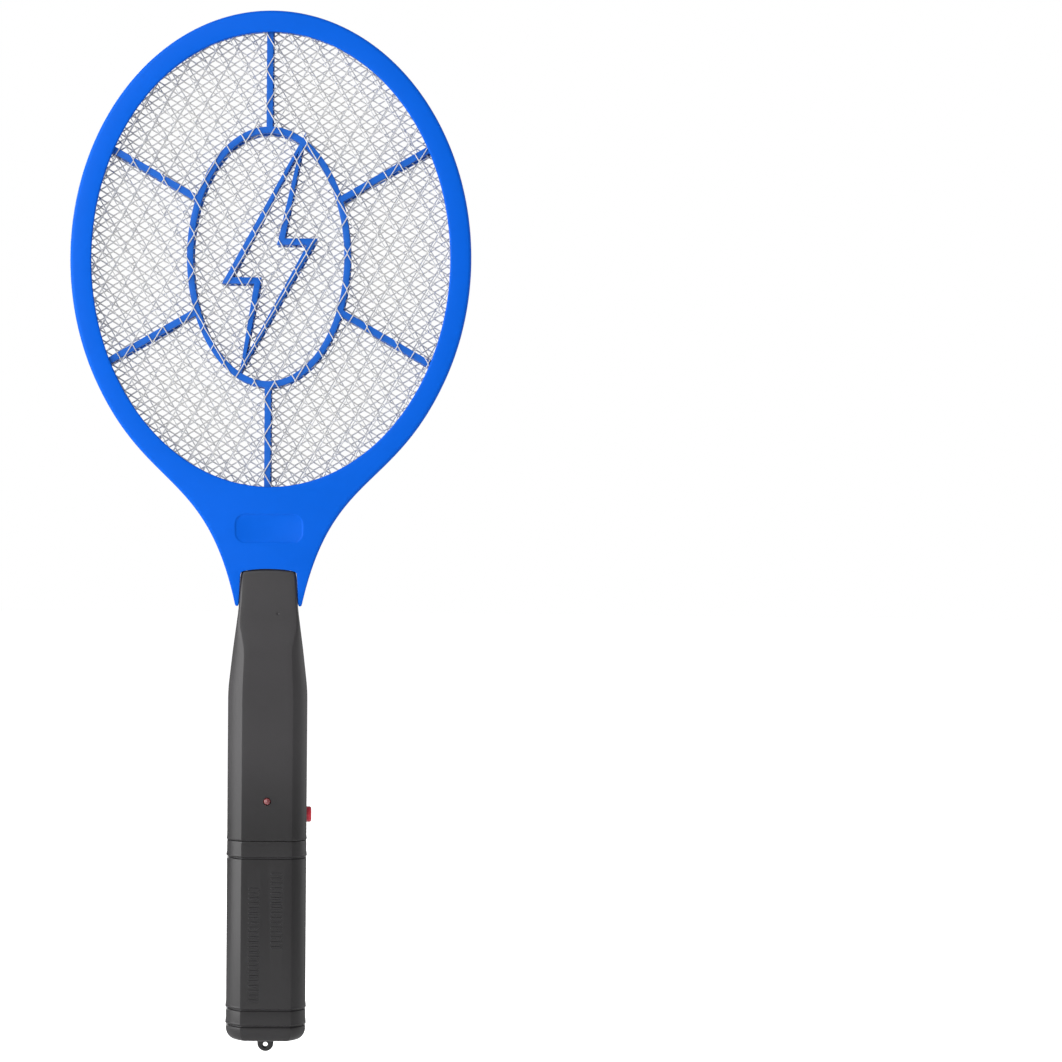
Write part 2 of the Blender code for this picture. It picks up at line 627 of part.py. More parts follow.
def coil_spring(name, x, z_low, z_high, wire, big, small, turns, finish):
    """A conical spring: one round wire along a helix, squared off at its wide end."""
    curve = bpy.data.curves.new(name, 'CURVE')
    curve.dimensions = '3D'
    curve.bevel_depth = wire
    curve.bevel_resolution = 0
    curve.use_fill_caps = True
    spline = curve.splines.new('POLY')
    steps = int(turns * 12)
    spline.points.add(steps)
    for i in range(steps + 1):
        share = i / steps
        angle = 2 * math.pi * turns * share
        radius = big + (small - big) * share
        z = z_low + (z_high - z_low) * share
        spline.points[i].co = (x + radius * math.cos(angle), radius * math.sin(angle), z, 1.0)
    made = bpy.data.objects.new(name, curve)
    bpy.context.scene.collection.objects.link(made)
    curve.materials.append(finish)
    return made


def smooth_route(points, count):
    """Points on a Catmull-Rom curve through a hand-picked route."""
    ends = [Vector(points[0]) * 2 - Vector(points[1])]
    ends += [Vector(p) for p in points]
    ends += [Vector(points[-1]) * 2 - Vector(points[-2])]
    route = []
    spans = len(points) - 1
    for i in range(count + 1):
        t = spans * i / count
        k = min(int(t), spans - 1)
        u = t - k
        a, b, c, d = ends[k:k + 4]
        route.append(0.5 * ((2 * b) + (c - a) * u + (2 * a - 5 * b + 4 * c - d) * u * u
                            + (3 * b - a - 3 * c + d) * u ** 3))
    return route


def wire_lead(name, points, finish, count=26, radius=LEAD_RADIUS):
    curve = bpy.data.curves.new(name, 'CURVE')
    curve.dimensions = '3D'
    curve.bevel_depth = radius
    curve.bevel_resolution = 1
    curve.use_fill_caps = True
    spline = curve.splines.new('POLY')
    spline.points.add(count)
    for i, point in enumerate(smooth_route(points, count)):
        spline.points[i].co = (*point, 1.0)
    made = bpy.data.objects.new(name, curve)
    bpy.context.scene.collection.objects.link(made)
    curve.materials.append(finish)
    return made


def lead_part(name, body_points, legs, finish):
    """A small circuit component: a body joined to the legs that pass into the board."""
    made = add_object(name, body_points, finish)
    for number, (x, z, y_from) in enumerate(legs, 1):
        leg = turned([(y_from, 0.0003), (BOARD_Y - GAP, 0.0003)], (x, 0.0, z), 'Y', 8)
        combine(made, cutter("%s_leg_%d" % (name, number), leg), 'UNION')
    return made


def circuit(finishes):
    """The high-voltage board: everything stands on its front face."""
    face = BOARD_Y - GAP
    add_object("circuit_board", block((-BOARD_HALF_WIDTH, BOARD_Y, BOARD_LOW_Z),
                                              (BOARD_HALF_WIDTH, BOARD_Y + BOARD_THICKNESS, BOARD_HIGH_Z)),
               finishes["board"])

    core_z = 0.0640
    core = add_object("transformer_core", block((-0.0085, -0.0078, core_z - 0.0075),
                                                (0.0035, face, core_z + 0.0075)), finishes["ferrite"])
    window = block((-0.0065, -0.0085, core_z - 0.0052), (0.0015, face - 0.0018, core_z + 0.0052))
    combine(core, cutter("transformer_core_window", window))
    turned_coil = block((-0.0062, -0.0088, core_z - 0.0049), (0.0012, face - 0.0021, core_z + 0.0049))
    add_object("transformer_winding", turned_coil, finishes["copper"])

    lead_part("storage_capacitor", block((-0.0080, -0.0072, 0.0400), (0.0080, face - 0.0012, 0.0480)),
              [(-0.0060, 0.0440, face - 0.0020), (0.0060, 0.0440, face - 0.0020)], finishes["capacitor"])
    lead_part("filter_capacitor", turned([(-0.0078, 0.0026), (face - 0.0010, 0.0026)],
                                         (-0.0065, 0.0, 0.0345), 'Y', 16),
              [(-0.0075, 0.0345, face - 0.0020), (-0.0055, 0.0345, face - 0.0020)], finishes["sleeve"])
    lead_part("power_transistor", block((0.0045, -0.0040, 0.0335), (0.0087, face - 0.0015, 0.0355)),
              [(0.0055, 0.0345, face - 0.0025), (0.0077, 0.0345, face - 0.0025)], finishes["epoxy"])
    for number in range(3):
        x = 0.0058 + 0.0018 * number
        body = turned([(0.0530, 0.0007), (0.0575, 0.0007)], (x, face - 0.0012, 0.0), 'Z', 10)
        lead_part("rectifier_diode_%d" % (number + 1), body,
                  [(x, 0.0538, face - 0.0014), (x, 0.0567, face - 0.0014)], finishes["epoxy"])
    for number in range(3):
        z = 0.0200 + 0.0024 * number
        body = turned([(-0.0085, 0.0007), (-0.0050, 0.0007)], (0.0, face - 0.0012, z), 'X', 10)
        lead_part("resistor_%d" % (number + 1), body,
                  [(-0.0078, z, face - 0.0014), (-0.0057, z, face - 0.0014)], finishes["resistor"])

    inside = GRIP_HALF_WIDTH - SHELL_WALL - 0.0018
    switch = add_object("switch_body", block((0.0030, -0.0032, BUTTON_Z - 0.0032),
                                             (inside - 0.0027, face, BUTTON_Z + 0.0032)), finishes["epoxy"])
    bore = turned([(inside - 0.0050, 0.0015), (inside, 0.0015)], (0.0, 0.0, BUTTON_Z), 'X', 14)
    combine(switch, cutter("switch_body_bore", bore))

    front = -GRIP_HALF_DEPTH
    led = turned([(front + 0.0040, 0.0019), (front + 0.0031, 0.0019), (front + 0.0031, LED_RADIUS),
                  (front - 0.0002, LED_RADIUS), (front - 0.0008, LED_RADIUS * 0.86),
                  (front - 0.0012, LED_RADIUS * 0.5)], (0.0, 0.0, LED_Z), 'Y', 18)
    add_object("indicator_led", led, finishes["led"])
    for number, x in enumerate((-0.0010, 0.0010), 1):
        leg = turned([(front + 0.0040 + GAP, 0.00025), (face, 0.00025)], (x, 0.0, LED_Z), 'Y', 8)
        add_object("led_leg_%d" % number, leg, finishes["steel"])


def battery_bay(finishes):
    """The tray that holds two cells side by side, its contacts and springs."""
    tray_top = SPIGOT_BOTTOM_Z + 0.0058
    low_wall = CELL_LOW_Z - 0.0042
    section = [(-0.0148, -0.0020), (0.0148, -0.0020), (0.0148, 0.0044), (0.0108, 0.0084), (-0.0108, 0.0084),
               (-0.0148, 0.0044)]
    high_wall = CELL_LOW_Z + CELL_LENGTH + 0.0068
    tray = add_object("battery_tray", loft([[Vector((x, y, z)) for x, y in section]
                                            for z in (low_wall - 0.0016, high_wall + 0.0020)]),
                      finishes["tray"])
    end = [(-0.0146, -0.0062), (0.0146, -0.0062), (0.0146, 0.0040), (-0.0146, 0.0040)]
    for number, (z0, z1) in enumerate(((low_wall - 0.0016, low_wall), (high_wall, high_wall + 0.0020)), 1):
        wall = loft([[Vector((x, y, z)) for x, y in end] for z in (z0, z1)])
        combine(tray, cutter("battery_tray_wall_%d" % number, wall), 'UNION')
    for number, x in enumerate((-CELL_X, CELL_X), 1):
        trough = turned([(low_wall, CELL_RADIUS + GAP), (high_wall, CELL_RADIUS + GAP)], (x, 0.0, 0.0), 'Z', 20)
        combine(tray, cutter("battery_tray_trough_%d" % number, trough))
    between = block((-CELL_X, -0.0100, low_wall), (CELL_X, 0.0010, high_wall))
    combine(tray, cutter("battery_tray_between", between))
    neck = block((-0.0100, 0.0, high_wall + 0.001), (0.0100, 0.0066, tray_top))
    combine(tray, cutter("battery_tray_neck", neck), 'UNION')
    for number, x in enumerate((-0.0060, 0.0060), 1):
        way = block((x - 0.0014, -0.0070, high_wall - 0.0010), (x + 0.0014, -0.0040, high_wall + 0.0030))
        combine(tray, cutter("battery_tray_way_%d" % number, way))

    for name, x, up in (("battery_cell_left", -CELL_X, True), ("battery_cell_right", CELL_X, False)):
        stations = [(0.0, CELL_RADIUS - 0.0006), (0.0006, CELL_RADIUS), (CELL_LENGTH - 0.0006, CELL_RADIUS),
                    (CELL_LENGTH, CELL_RADIUS - 0.0006), (CELL_LENGTH, 0.0026),
                    (CELL_LENGTH + CELL_NUB, 0.0026)]
        if up:
            bm = turned([(CELL_LOW_Z + a, r) for a, r in stations], (x, 0.0, 0.0), 'Z', 18)
        else:
            top = CELL_LOW_Z + CELL_LENGTH + CELL_NUB
            bm = turned([(top - a, r) for a, r in stations], (x, 0.0, 0.0), 'Z', 18)
        add_object(name, bm, finishes["cell"])

    thin = 0.0004
    low = low_wall + GAP
    bridge = block((-CELL_X - 0.0045, -0.0045, low), (CELL_X + 0.0045, 0.0006, low + thin))
    add_object("bridge_contact", bridge, finishes["steel"])
    high = high_wall - GAP
    for name, x in (("positive_contact", -CELL_X), ("negative_contact", CELL_X)):
        add_object(name, block((x - 0.0045, -0.0045, high - thin), (x + 0.0045, 0.0045, high)),
                   finishes["steel"])
    bump = turned([(CELL_LOW_Z + CELL_LENGTH + CELL_NUB + GAP, 0.0020), (high - thin / 2, 0.0035)],
                  (-CELL_X, 0.0, 0.0), 'Z', 16)
    combine(bpy.data.objects["positive_contact"], cutter("positive_contact_bump", bump), 'UNION')
    bump = turned([(low + thin / 2, 0.0035), (CELL_LOW_Z - GAP, 0.0020)], (CELL_X, 0.0, 0.0), 'Z', 16)
    combine(bpy.data.objects["bridge_contact"], cutter("bridge_contact_bump", bump), 'UNION')
    wire = 0.00030
    coil_spring("battery_spring_left", -CELL_X, low + thin + wire + GAP, CELL_LOW_Z - wire - GAP, wire,
                0.0042, 0.0026, 3.0, finishes["steel"])
    top = CELL_LOW_Z + CELL_LENGTH + CELL_NUB
    coil_spring("battery_spring_right", CELL_X, high - thin - wire - GAP, top + wire + GAP, wire,
                0.0042, 0.0026, 3.0, finishes["steel"])


def leads(finishes):
    """Wires that the handle and the head hold all the way."""
    start_z = CELL_LOW_Z + CELL_LENGTH + 0.0068 + GAP
    for name, x, finish in (("battery_lead_red", -0.0060, finishes["red_wire"]),
                            ("battery_lead_black", 0.0060, finishes["black_wire"])):
        wire_lead(name, [(x, -0.0055, start_z), (x, -0.0056, -0.0040), (x * 0.9, -0.0040, 0.0060),
                         (x * 0.9, -0.0015, 0.0120), (x * 0.7, BOARD_Y - 0.0014, 0.0165),
                         (x * 0.7, BOARD_Y - 0.0010, 0.0194)], finish, 18)
    face = BOARD_Y - GAP
    for name, x, pass_x, tab_y, finish in (
            ("mesh_lead_front", -0.0024, -0.0042, -OUTER_MESH_Y, finishes["black_wire"]),
            ("mesh_lead_centre", 0.0, 0.0040, 0.0, finishes["red_wire"]),
            ("mesh_lead_rear", 0.0024, 0.0058, OUTER_MESH_Y, finishes["black_wire"])):
        shift = MESH_THICKNESS / 2 + LEAD_RADIUS + GAP
        tab_side = tab_y + shift if tab_y <= 0 else tab_y - shift
        tab_x = x * 2.6
        wire_lead(name, [(x, face - LEAD_RADIUS, 0.0760), (x * 0.9, -0.0010, 0.0840),
                         (pass_x * 0.8, -0.0022, 0.0920), (pass_x, -0.0024, 0.1000),
                         (pass_x * 0.8, -0.0018, 0.1080), (x * 0.95, 0.0, 0.1200), (x * 0.95, 0.0, 0.1400),
                         (x * 0.95, 0.0, 0.1530), (tab_x * 0.95, tab_side, 0.1610),
                         (tab_x, tab_side, 0.1650)], finish, 32)


def main():
    clear_scene()
    blue = material("frame_blue", (0.008, 0.16, 0.90), 0.34)
    black = material("handle_black", (0.055, 0.052, 0.056), 0.42)
    gloss_black = material("loop_black", (0.020, 0.020, 0.022), 0.22)
    red = material("button_red", (0.55, 0.010, 0.025), 0.30)
    alloy = material("mesh_metal", (0.72, 0.74, 0.76), 0.32, 1.0)
    screw_steel = material("screw_steel", (0.50, 0.50, 0.50), 0.35, 1.0)
    finishes = {
        "board": material("board_green", (0.03, 0.20, 0.07), 0.45),
        "ferrite": material("ferrite", (0.05, 0.05, 0.05), 0.60),
        "copper": material("winding_tape", (0.75, 0.45, 0.08), 0.45),
        "capacitor": material("film_capacitor", (0.45, 0.10, 0.05), 0.35),
        "sleeve": material("capacitor_sleeve", (0.03, 0.05, 0.18), 0.35),
        "epoxy": material("moulded_epoxy", (0.02, 0.02, 0.02), 0.50),
        "resistor": material("resistor_body", (0.55, 0.38, 0.20), 0.50),
        "led": material("led_red", (0.75, 0.02, 0.02), 0.12),
        "steel": material("contact_steel", (0.60, 0.60, 0.58), 0.30, 1.0),
        "tray": material("tray_black", (0.035, 0.035, 0.037), 0.50),
        "cell": material("cell_jacket", (0.06, 0.20, 0.12), 0.35),
        "red_wire": material("wire_red", (0.50, 0.02, 0.02), 0.45),
        "black_wire": material("wire_black", (0.02, 0.02, 0.02), 0.45),
    }

    head_frame("head_front_frame", -1, blue)
    head_frame("head_rear_frame", 1, blue)
    grille("front_grille", -1, FRONT_RIB_SHIFT, blue)
    grille("rear_grille", 1, REAR_RIB_SHIFT, blue)
    mesh_sheet("front_mesh", -OUTER_MESH_Y, -0.0024 * 2.6, alloy)
    mesh_sheet("centre_mesh", 0.0, 0.0, alloy)
    mesh_sheet("rear_mesh", OUTER_MESH_Y, 0.0024 * 2.6, alloy)
    head_y = HEAD_HALF_DEPTH - SCREW_HEAD_HEIGHT - 0.0001
    for number, (x, z) in enumerate(ring_screw_places(), 1):
        screw("ring_screw_%d" % number, x, z, head_y, -0.0040, screw_steel)
    for number, x in enumerate((-THROAT_SCREW_X, THROAT_SCREW_X), 1):
        screw("throat_screw_%d" % number, x, THROAT_SCREW_Z, head_y, -0.0052, screw_steel)

    handle_shell("handle_front_shell", -1, black)
    handle_shell("handle_rear_shell", 1, black)
    for number, z in enumerate(HANDLE_SCREW_Z, 1):
        screw("handle_screw_%d" % number, 0.0, z, HANDLE_SCREW_SEAT + GAP, -0.0070, screw_steel)
    battery_cover(black)
    hanging_loop(gloss_black)
    button_parts(red, finishes["epoxy"])
    circuit(finishes)
    battery_bay(finishes)
    leads(finishes)


main()
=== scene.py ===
import math

import bmesh
import bpy
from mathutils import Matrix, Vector
from mathutils.geometry import tessellate_polygon


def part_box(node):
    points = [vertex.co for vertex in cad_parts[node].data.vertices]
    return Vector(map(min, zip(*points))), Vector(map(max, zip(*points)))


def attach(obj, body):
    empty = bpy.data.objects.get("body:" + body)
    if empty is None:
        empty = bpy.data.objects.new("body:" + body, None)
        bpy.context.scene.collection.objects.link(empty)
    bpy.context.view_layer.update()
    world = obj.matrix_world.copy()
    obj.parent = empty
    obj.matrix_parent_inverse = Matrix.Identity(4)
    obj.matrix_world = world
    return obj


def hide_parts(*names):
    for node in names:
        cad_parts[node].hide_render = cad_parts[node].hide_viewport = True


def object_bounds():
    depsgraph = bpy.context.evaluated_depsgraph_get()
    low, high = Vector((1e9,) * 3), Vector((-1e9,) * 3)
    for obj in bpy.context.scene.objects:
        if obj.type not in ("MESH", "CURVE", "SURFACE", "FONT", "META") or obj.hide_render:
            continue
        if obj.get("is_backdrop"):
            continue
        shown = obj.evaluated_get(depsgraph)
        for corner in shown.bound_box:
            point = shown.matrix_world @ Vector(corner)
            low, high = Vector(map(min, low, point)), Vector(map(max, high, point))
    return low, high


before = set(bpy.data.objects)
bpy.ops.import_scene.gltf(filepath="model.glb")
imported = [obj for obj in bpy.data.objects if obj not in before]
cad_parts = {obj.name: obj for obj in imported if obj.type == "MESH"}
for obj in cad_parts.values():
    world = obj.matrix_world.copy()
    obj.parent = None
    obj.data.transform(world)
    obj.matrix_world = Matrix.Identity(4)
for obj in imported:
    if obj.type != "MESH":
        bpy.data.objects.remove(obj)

cad_low, cad_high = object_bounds()


# Studio: the swatter is held upright just above a pale floor, in front of nothing but white. A broad soft
# light stands at its upper left, a weaker one at each side, and the camera looks at it squarely.
scene = bpy.context.scene
scene.view_settings.view_transform = 'Standard'

def placed(name, data):
    made = bpy.data.objects.new(name, data)
    scene.collection.objects.link(made)
    return made


frame_width = 0.4785            # what the picture spans at the swatter's mid plane
camera_distance = 1.15
camera_data = bpy.data.cameras.new("studio_camera")
camera_data.sensor_width = 36.0
camera_data.lens = camera_data.sensor_width * camera_distance / frame_width
camera_data.shift_x = 0.2468
camera = placed("studio_camera", camera_data)
camera.location = (0.0, -camera_distance, 0.1504)
camera.rotation_euler = (math.radians(90), math.radians(-0.40), 0)
scene.camera = camera


def soft_light(name, place, aim, size, power):
    data = bpy.data.lights.new(name, 'AREA')
    data.shape = 'RECTANGLE'
    data.size, data.size_y = size
    data.energy = power
    lamp = placed(name, data)
    lamp.location = place
    lamp.rotation_euler = (Vector(aim) - Vector(place)).to_track_quat('-Z', 'Y').to_euler()
    lamp.visible_camera = False


soft_light("key_softbox", (-0.85, -1.30, 0.80), (0, 0, 0.15), (1.3, 1.5), 21.5)
soft_light("left_softbox", (-1.40, -0.40, 0.22), (0, 0, 0.13), (1.0, 1.2), 13.5)
soft_light("right_softbox", (1.5, 0.6, 0.35), (0, 0, 0.15), (0.8, 1.2), 4.0)
soft_light("back_softbox", (-0.9, 1.4, 0.85), (0, 0, 0.15), (1.1, 1.2), 18.0)


def feed(tree, node, sockets):
    """Sets a node's sockets to values, or links them to outputs."""
    for label, value in sockets.items():
        if isinstance(value, bpy.types.NodeSocket):
            tree.links.new(value, node.inputs[label])
        else:
            node.inputs[label].default_value = value


def add(tree, kind, sockets=None, **settings):
    """A new shader node with its settings and its sockets."""
    made = tree.nodes.new('ShaderNode' + kind)
    for label, value in settings.items():
        setattr(made, label, value)
    feed(tree, made, sockets or {})
    return made


world = bpy.data.worlds.new("studio_white")
world.use_nodes = True
scene.world = world
sky = world.node_tree
seen = add(sky, 'LightPath').outputs["Is Camera Ray"]
level = add(sky, 'MapRange', {"Value": seen, "To Min": 0.38, "To Max": 1.0}).outputs["Result"]
feed(sky, sky.nodes["Background"], {"Color": (1.0, 1.0, 1.0, 1.0), "Strength": level})


def painted(name, roughness, metallic=0.0, **uniform):
    """A material with its Principled shader, and the values that are the same all over set on it."""
    made = bpy.data.materials.new(name)
    made.use_nodes = True
    shader = made.node_tree.nodes["Principled BSDF"]
    shader.inputs["Roughness"].default_value = roughness
    shader.inputs["Metallic"].default_value = metallic
    for socket, value in uniform.items():
        shader.inputs[socket.replace("_", " ").title().replace("Ior", "IOR")].default_value = value
    return made, made.node_tree, shader


floor_paint, floor_tree, floor_shader = painted("floor_white", 0.9)
cloudy = add(floor_tree, 'TexNoise', {"Scale": 6.0}).outputs["Fac"]
floor_tone = add(floor_tree, 'Mix', {"Factor": cloudy, "A": (0.93, 0.93, 0.93, 1),
                                     "B": (0.96, 0.96, 0.96, 1)}, data_type='RGBA').outputs["Result"]
seen = add(floor_tree, 'LightPath').outputs["Is Camera Ray"]
glow = add(floor_tree, 'MapRange', {"Value": seen, "To Max": 0.75}).outputs["Result"]
feed(floor_tree, floor_shader, {"Base Color": floor_tone, "Emission Strength": glow,
                                "Emission Color": floor_tone})
bpy.ops.mesh.primitive_circle_add(vertices=96, radius=9.0, fill_type='NGON',
                                  location=(0, 0, cad_low.z - 0.0905))
floor = bpy.context.object
floor.name = "studio_floor"
floor.data.materials.append(floor_paint)
floor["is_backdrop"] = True


# Head frame: two halves of injection-moulded blue ABS that close round the meshes and clasp the handle's
# neck in a throat. Their outer edges are rounded, the front half has a shallow pad, the rear half the screws.
front_low, front_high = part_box("head_front_frame")
rear_low, rear_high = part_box("head_rear_frame")
grille_low, grille_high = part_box("front_grille")
neck_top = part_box("handle_front_shell")[1].z
skin_y = rear_high.y
head_half_width = front_high.x
head_half_height = 0.1112
head_z = front_high.z - head_half_height
opening_reach = 0.0031          # how far the meshes and grilles go under the lip
opening_half_width = grille_high.x - opening_reach
opening_half_height = (grille_high.z - grille_low.z) / 2 - opening_reach
opening_z = (grille_high.z + grille_low.z) / 2
horn_tip = (0.0149, front_low.z)
mouth_top = 0.1326
lip = 0.0016
seam = 0.00015                  # the rim of each half stands this far back from the middle plane
meeting = 0.00001               # behind it, this far in, the halves all but touch
groove_in = 0.0004


def arc_points(centre, radii, start, end, count, ends=True):
    points = []
    for i in range(count):
        angle = math.radians(start + (end - start) * i / (count - 1 if ends else count))
        points.append((centre[0] + radii[0] * math.cos(angle), centre[1] + radii[1] * math.sin(angle)))
    return points
def ring_points(centre, radii, count):
    return arc_points(centre, radii, 0, 360, count, ends=False)

def curve_points(a, b, c, d, count):
    """Points along a cubic curve, without its first end."""
    points = []
    for i in range(1, count + 1):
        t = i / count
        s = 1 - t
        weights = (s ** 3, 3 * s * s * t, 3 * s * t * t, t ** 3)
        points.append(tuple(sum(w * p[k] for w, p in zip(weights, (a, b, c, d))) for k in (0, 1)))
    return points


def rounded_box(centre, half_width, half_height, radius, steps=8):
    points = []
    for quarter, (sx, sz) in enumerate(((1, 1), (-1, 1), (-1, -1), (1, -1))):
        middle = (centre[0] + sx * (half_width - radius), centre[1] + sz * (half_height - radius))
        points += arc_points(middle, (radius, radius), 90 * quarter, 90 * quarter + 90, steps)
    return points
def round_over(radius, steps):
    """A rounded edge: at each step, how far in from the side and how far back from the face it is."""
    turns = [math.radians(90 * i / steps) for i in range(steps + 1)]
    return [(radius * (1 - math.cos(turn)), radius * (1 - math.sin(turn))) for turn in turns]

def inwards(points, limit):
    """Normals of a counter-clockwise outline, pointing into it, lengthened at its corners up to a limit."""
    normals = []
    count = len(points)
    for i in range(count):
        before = (Vector(points[i]) - Vector(points[i - 1])).normalized()
        after = (Vector(points[(i + 1) % count]) - Vector(points[i])).normalized()
        mean = Vector((-before.y - after.y, before.x + after.x))
        mean = mean.normalized() if mean.length > 1e-6 else Vector((-before.y, before.x))
        normals.append(mean / max(mean.dot(Vector((-after.y, after.x))), 1 / limit))
    return normals


def shifted(points, amount, limit=1 / 0.6):
    """An outline moved inwards; amount is one distance, or one for each point."""
    amounts = amount if isinstance(amount, list) else [amount] * len(points)
    return [(p[0] + n.x * a, p[1] + n.y * a) for p, n, a in zip(points, inwards(points, limit), amounts)]


def lay_loop(bm, points, y):
    return [bm.verts.new((x, y, z)) for x, z in points]


def join_loops(bm, first, second):
    count = len(first)
    for i in range(count):
        j = (i + 1) % count
        bm.faces.new((first[i], first[j], second[j], second[i]))
def stack(bm, loops, lids=False):
    """Joins each loop to the next; with lids, the first and the last are closed by one flat face each."""
    for first, second in zip(loops, loops[1:]):
        join_loops(bm, first, second)
    if lids:
        bm.faces.new(loops[0])
        bm.faces.new(loops[-1])

def fill_loops(bm, loops):
    """Fills a flat face bounded by its first loop, with the others as holes."""
    verts = [v for loop in loops for v in loop]
    for triangle in tessellate_polygon([[v.co.copy() for v in loop] for loop in loops]):
        try:
            bm.faces.new([verts[i] for i in triangle])
        except ValueError:
            pass

def smoothed(mesh, sharp):
    """Smooth shading, but for edges that turn by more than an angle in degrees."""
    mesh.shade_smooth()
    mesh.set_sharp_from_angle(angle=math.radians(sharp))


def finished(name, bm, sharp=32.0):
    """An object from a bmesh, closed, facing out and smooth but for its real edges."""
    bmesh.ops.remove_doubles(bm, verts=bm.verts[:], dist=1e-7)
    bmesh.ops.recalc_face_normals(bm, faces=bm.faces[:])
    mesh = bpy.data.meshes.new(name)
    bm.to_mesh(mesh)
    bm.free()
    smoothed(mesh, sharp)
    return placed(name, mesh)


def merge_close(mesh, gap=1e-6):
    """Merges points closer than the gap and drops the slivers between them."""
    bm = bmesh.new()
    bm.from_mesh(mesh)
    bmesh.ops.remove_doubles(bm, verts=bm.verts[:], dist=gap)
    bmesh.ops.dissolve_degenerate(bm, edges=bm.edges[:], dist=gap)
    bm.to_mesh(mesh)
    bm.free()

def evaluated(piece):
    """A piece's mesh with its modifiers applied."""
    bpy.context.view_layer.update()
    return bpy.data.meshes.new_from_object(piece.evaluated_get(bpy.context.evaluated_depsgraph_get()))


def cut(piece, tool, operation='DIFFERENCE'):
    """Cuts a piece with a tool, or joins the tool to it, and clears the tool away."""
    step = piece.modifiers.new(tool.name, 'BOOLEAN')
    step.operation = operation
    step.solver = 'EXACT'
    step.object = tool
    solid = evaluated(piece)
    piece.modifiers.clear()
    piece.data = solid
    bpy.data.objects.remove(tool, do_unlink=True)
    merge_close(solid)


def block(name, half_width, depths, heights):
    """A plain block across the middle: how wide it is each way, and its two depths and heights."""
    bm = bmesh.new()
    square = [(-half_width, heights[0]), (half_width, heights[0]), (half_width, heights[1]),
              (-half_width, heights[1])]
    stack(bm, [lay_loop(bm, square, y) for y in sorted(depths)], lids=True)
    return finished(name, bm)


def lathe(name, stations, centre, axis='Y', sides=40, sharp=32.0):
    """A turned solid: stations are (distance along the axis, radius); a radius of 0 closes an end."""
    bm = bmesh.new()
    rows = []
    for along, radius in stations:
        row = []
        for i in range(sides if radius > 0 else 1):
            angle = 2 * math.pi * i / sides
            u, v = radius * math.cos(angle), radius * math.sin(angle)
            local = {'X': (along, u, v), 'Y': (u, along, v), 'Z': (u, v, along)}[axis]
            row.append(bm.verts.new(Vector(centre) + Vector(local)))
        rows.append(row)
    for low, high in zip(rows, rows[1:]):
        if len(low) == 1 or len(high) == 1:
            tip, ring = (low[0], high) if len(low) == 1 else (high[0], low)
            for i in range(sides):
                bm.faces.new((tip, ring[i], ring[(i + 1) % sides]))
        else:
            join_loops(bm, low, high)
    for row in (rows[0], rows[-1]):
        if len(row) > 1:
            bm.faces.new(row)
    return finished(name, bm, sharp)


def head_half_outline():
    """The right side, from the mouth's middle out round the horn and up the throat to the head's top."""
    tip_x, tip_z = horn_tip
    start = math.radians(-29.4)
    shoulder = (head_half_width * math.cos(start), head_z + head_half_height * math.sin(start))
    down = Vector((head_half_width * math.sin(start), -head_half_height * math.cos(start))).normalized()
    up = Vector((0.221, 1.0)).normalized()
    pull_a = (shoulder[0] + down.x * 0.0548, shoulder[1] + down.y * 0.0548)
    pull_b = (tip_x + up.x * 0.0621, tip_z + up.y * 0.0621)
    throat = list(reversed(curve_points(shoulder, pull_a, pull_b, (tip_x + 0.0002, tip_z + 0.0012), 44)))
    mouth = [(0.0, mouth_top + 0.0008), (0.0035, mouth_top + 0.00072), (0.0070, mouth_top + 0.00045),
             (0.0100, mouth_top), (0.0118, mouth_top - 0.0004), (0.0124, mouth_top - 0.0010),
             (0.01272, mouth_top - 0.0022), (0.0129, 0.1270), (0.0131, 0.1220), (0.0133, tip_z + 0.0010)]
    tip = [(0.01344, tip_z + 0.00045), (0.01370, tip_z + 0.00008), (0.0142, tip_z), (0.0147, tip_z + 0.0002),
           (0.01495, tip_z + 0.0006)]
    sweep = arc_points((0, head_z), (head_half_width, head_half_height), -29.4, 90.0, 76)[1:]
    return mouth + tip + throat + [shoulder] + sweep


def head_outline():
    """Counter-clockwise, with each point's edge radius: small round the mouth and horns, full elsewhere."""
    right = head_half_outline()
    left = [(-x, z) for x, z in reversed(right[1:-1])]
    outline = right + left
    radii = []
    for x, z in outline:
        full = 0.0017
        rise = min(max((z - horn_tip[1] - 0.004) / 0.030, 0.0), 1.0)
        in_mouth = abs(x) < 0.0140 and z < mouth_top + 0.002
        radii.append(0.00035 if in_mouth else 0.00035 + (full - 0.00035) * rise)
    return outline, radii


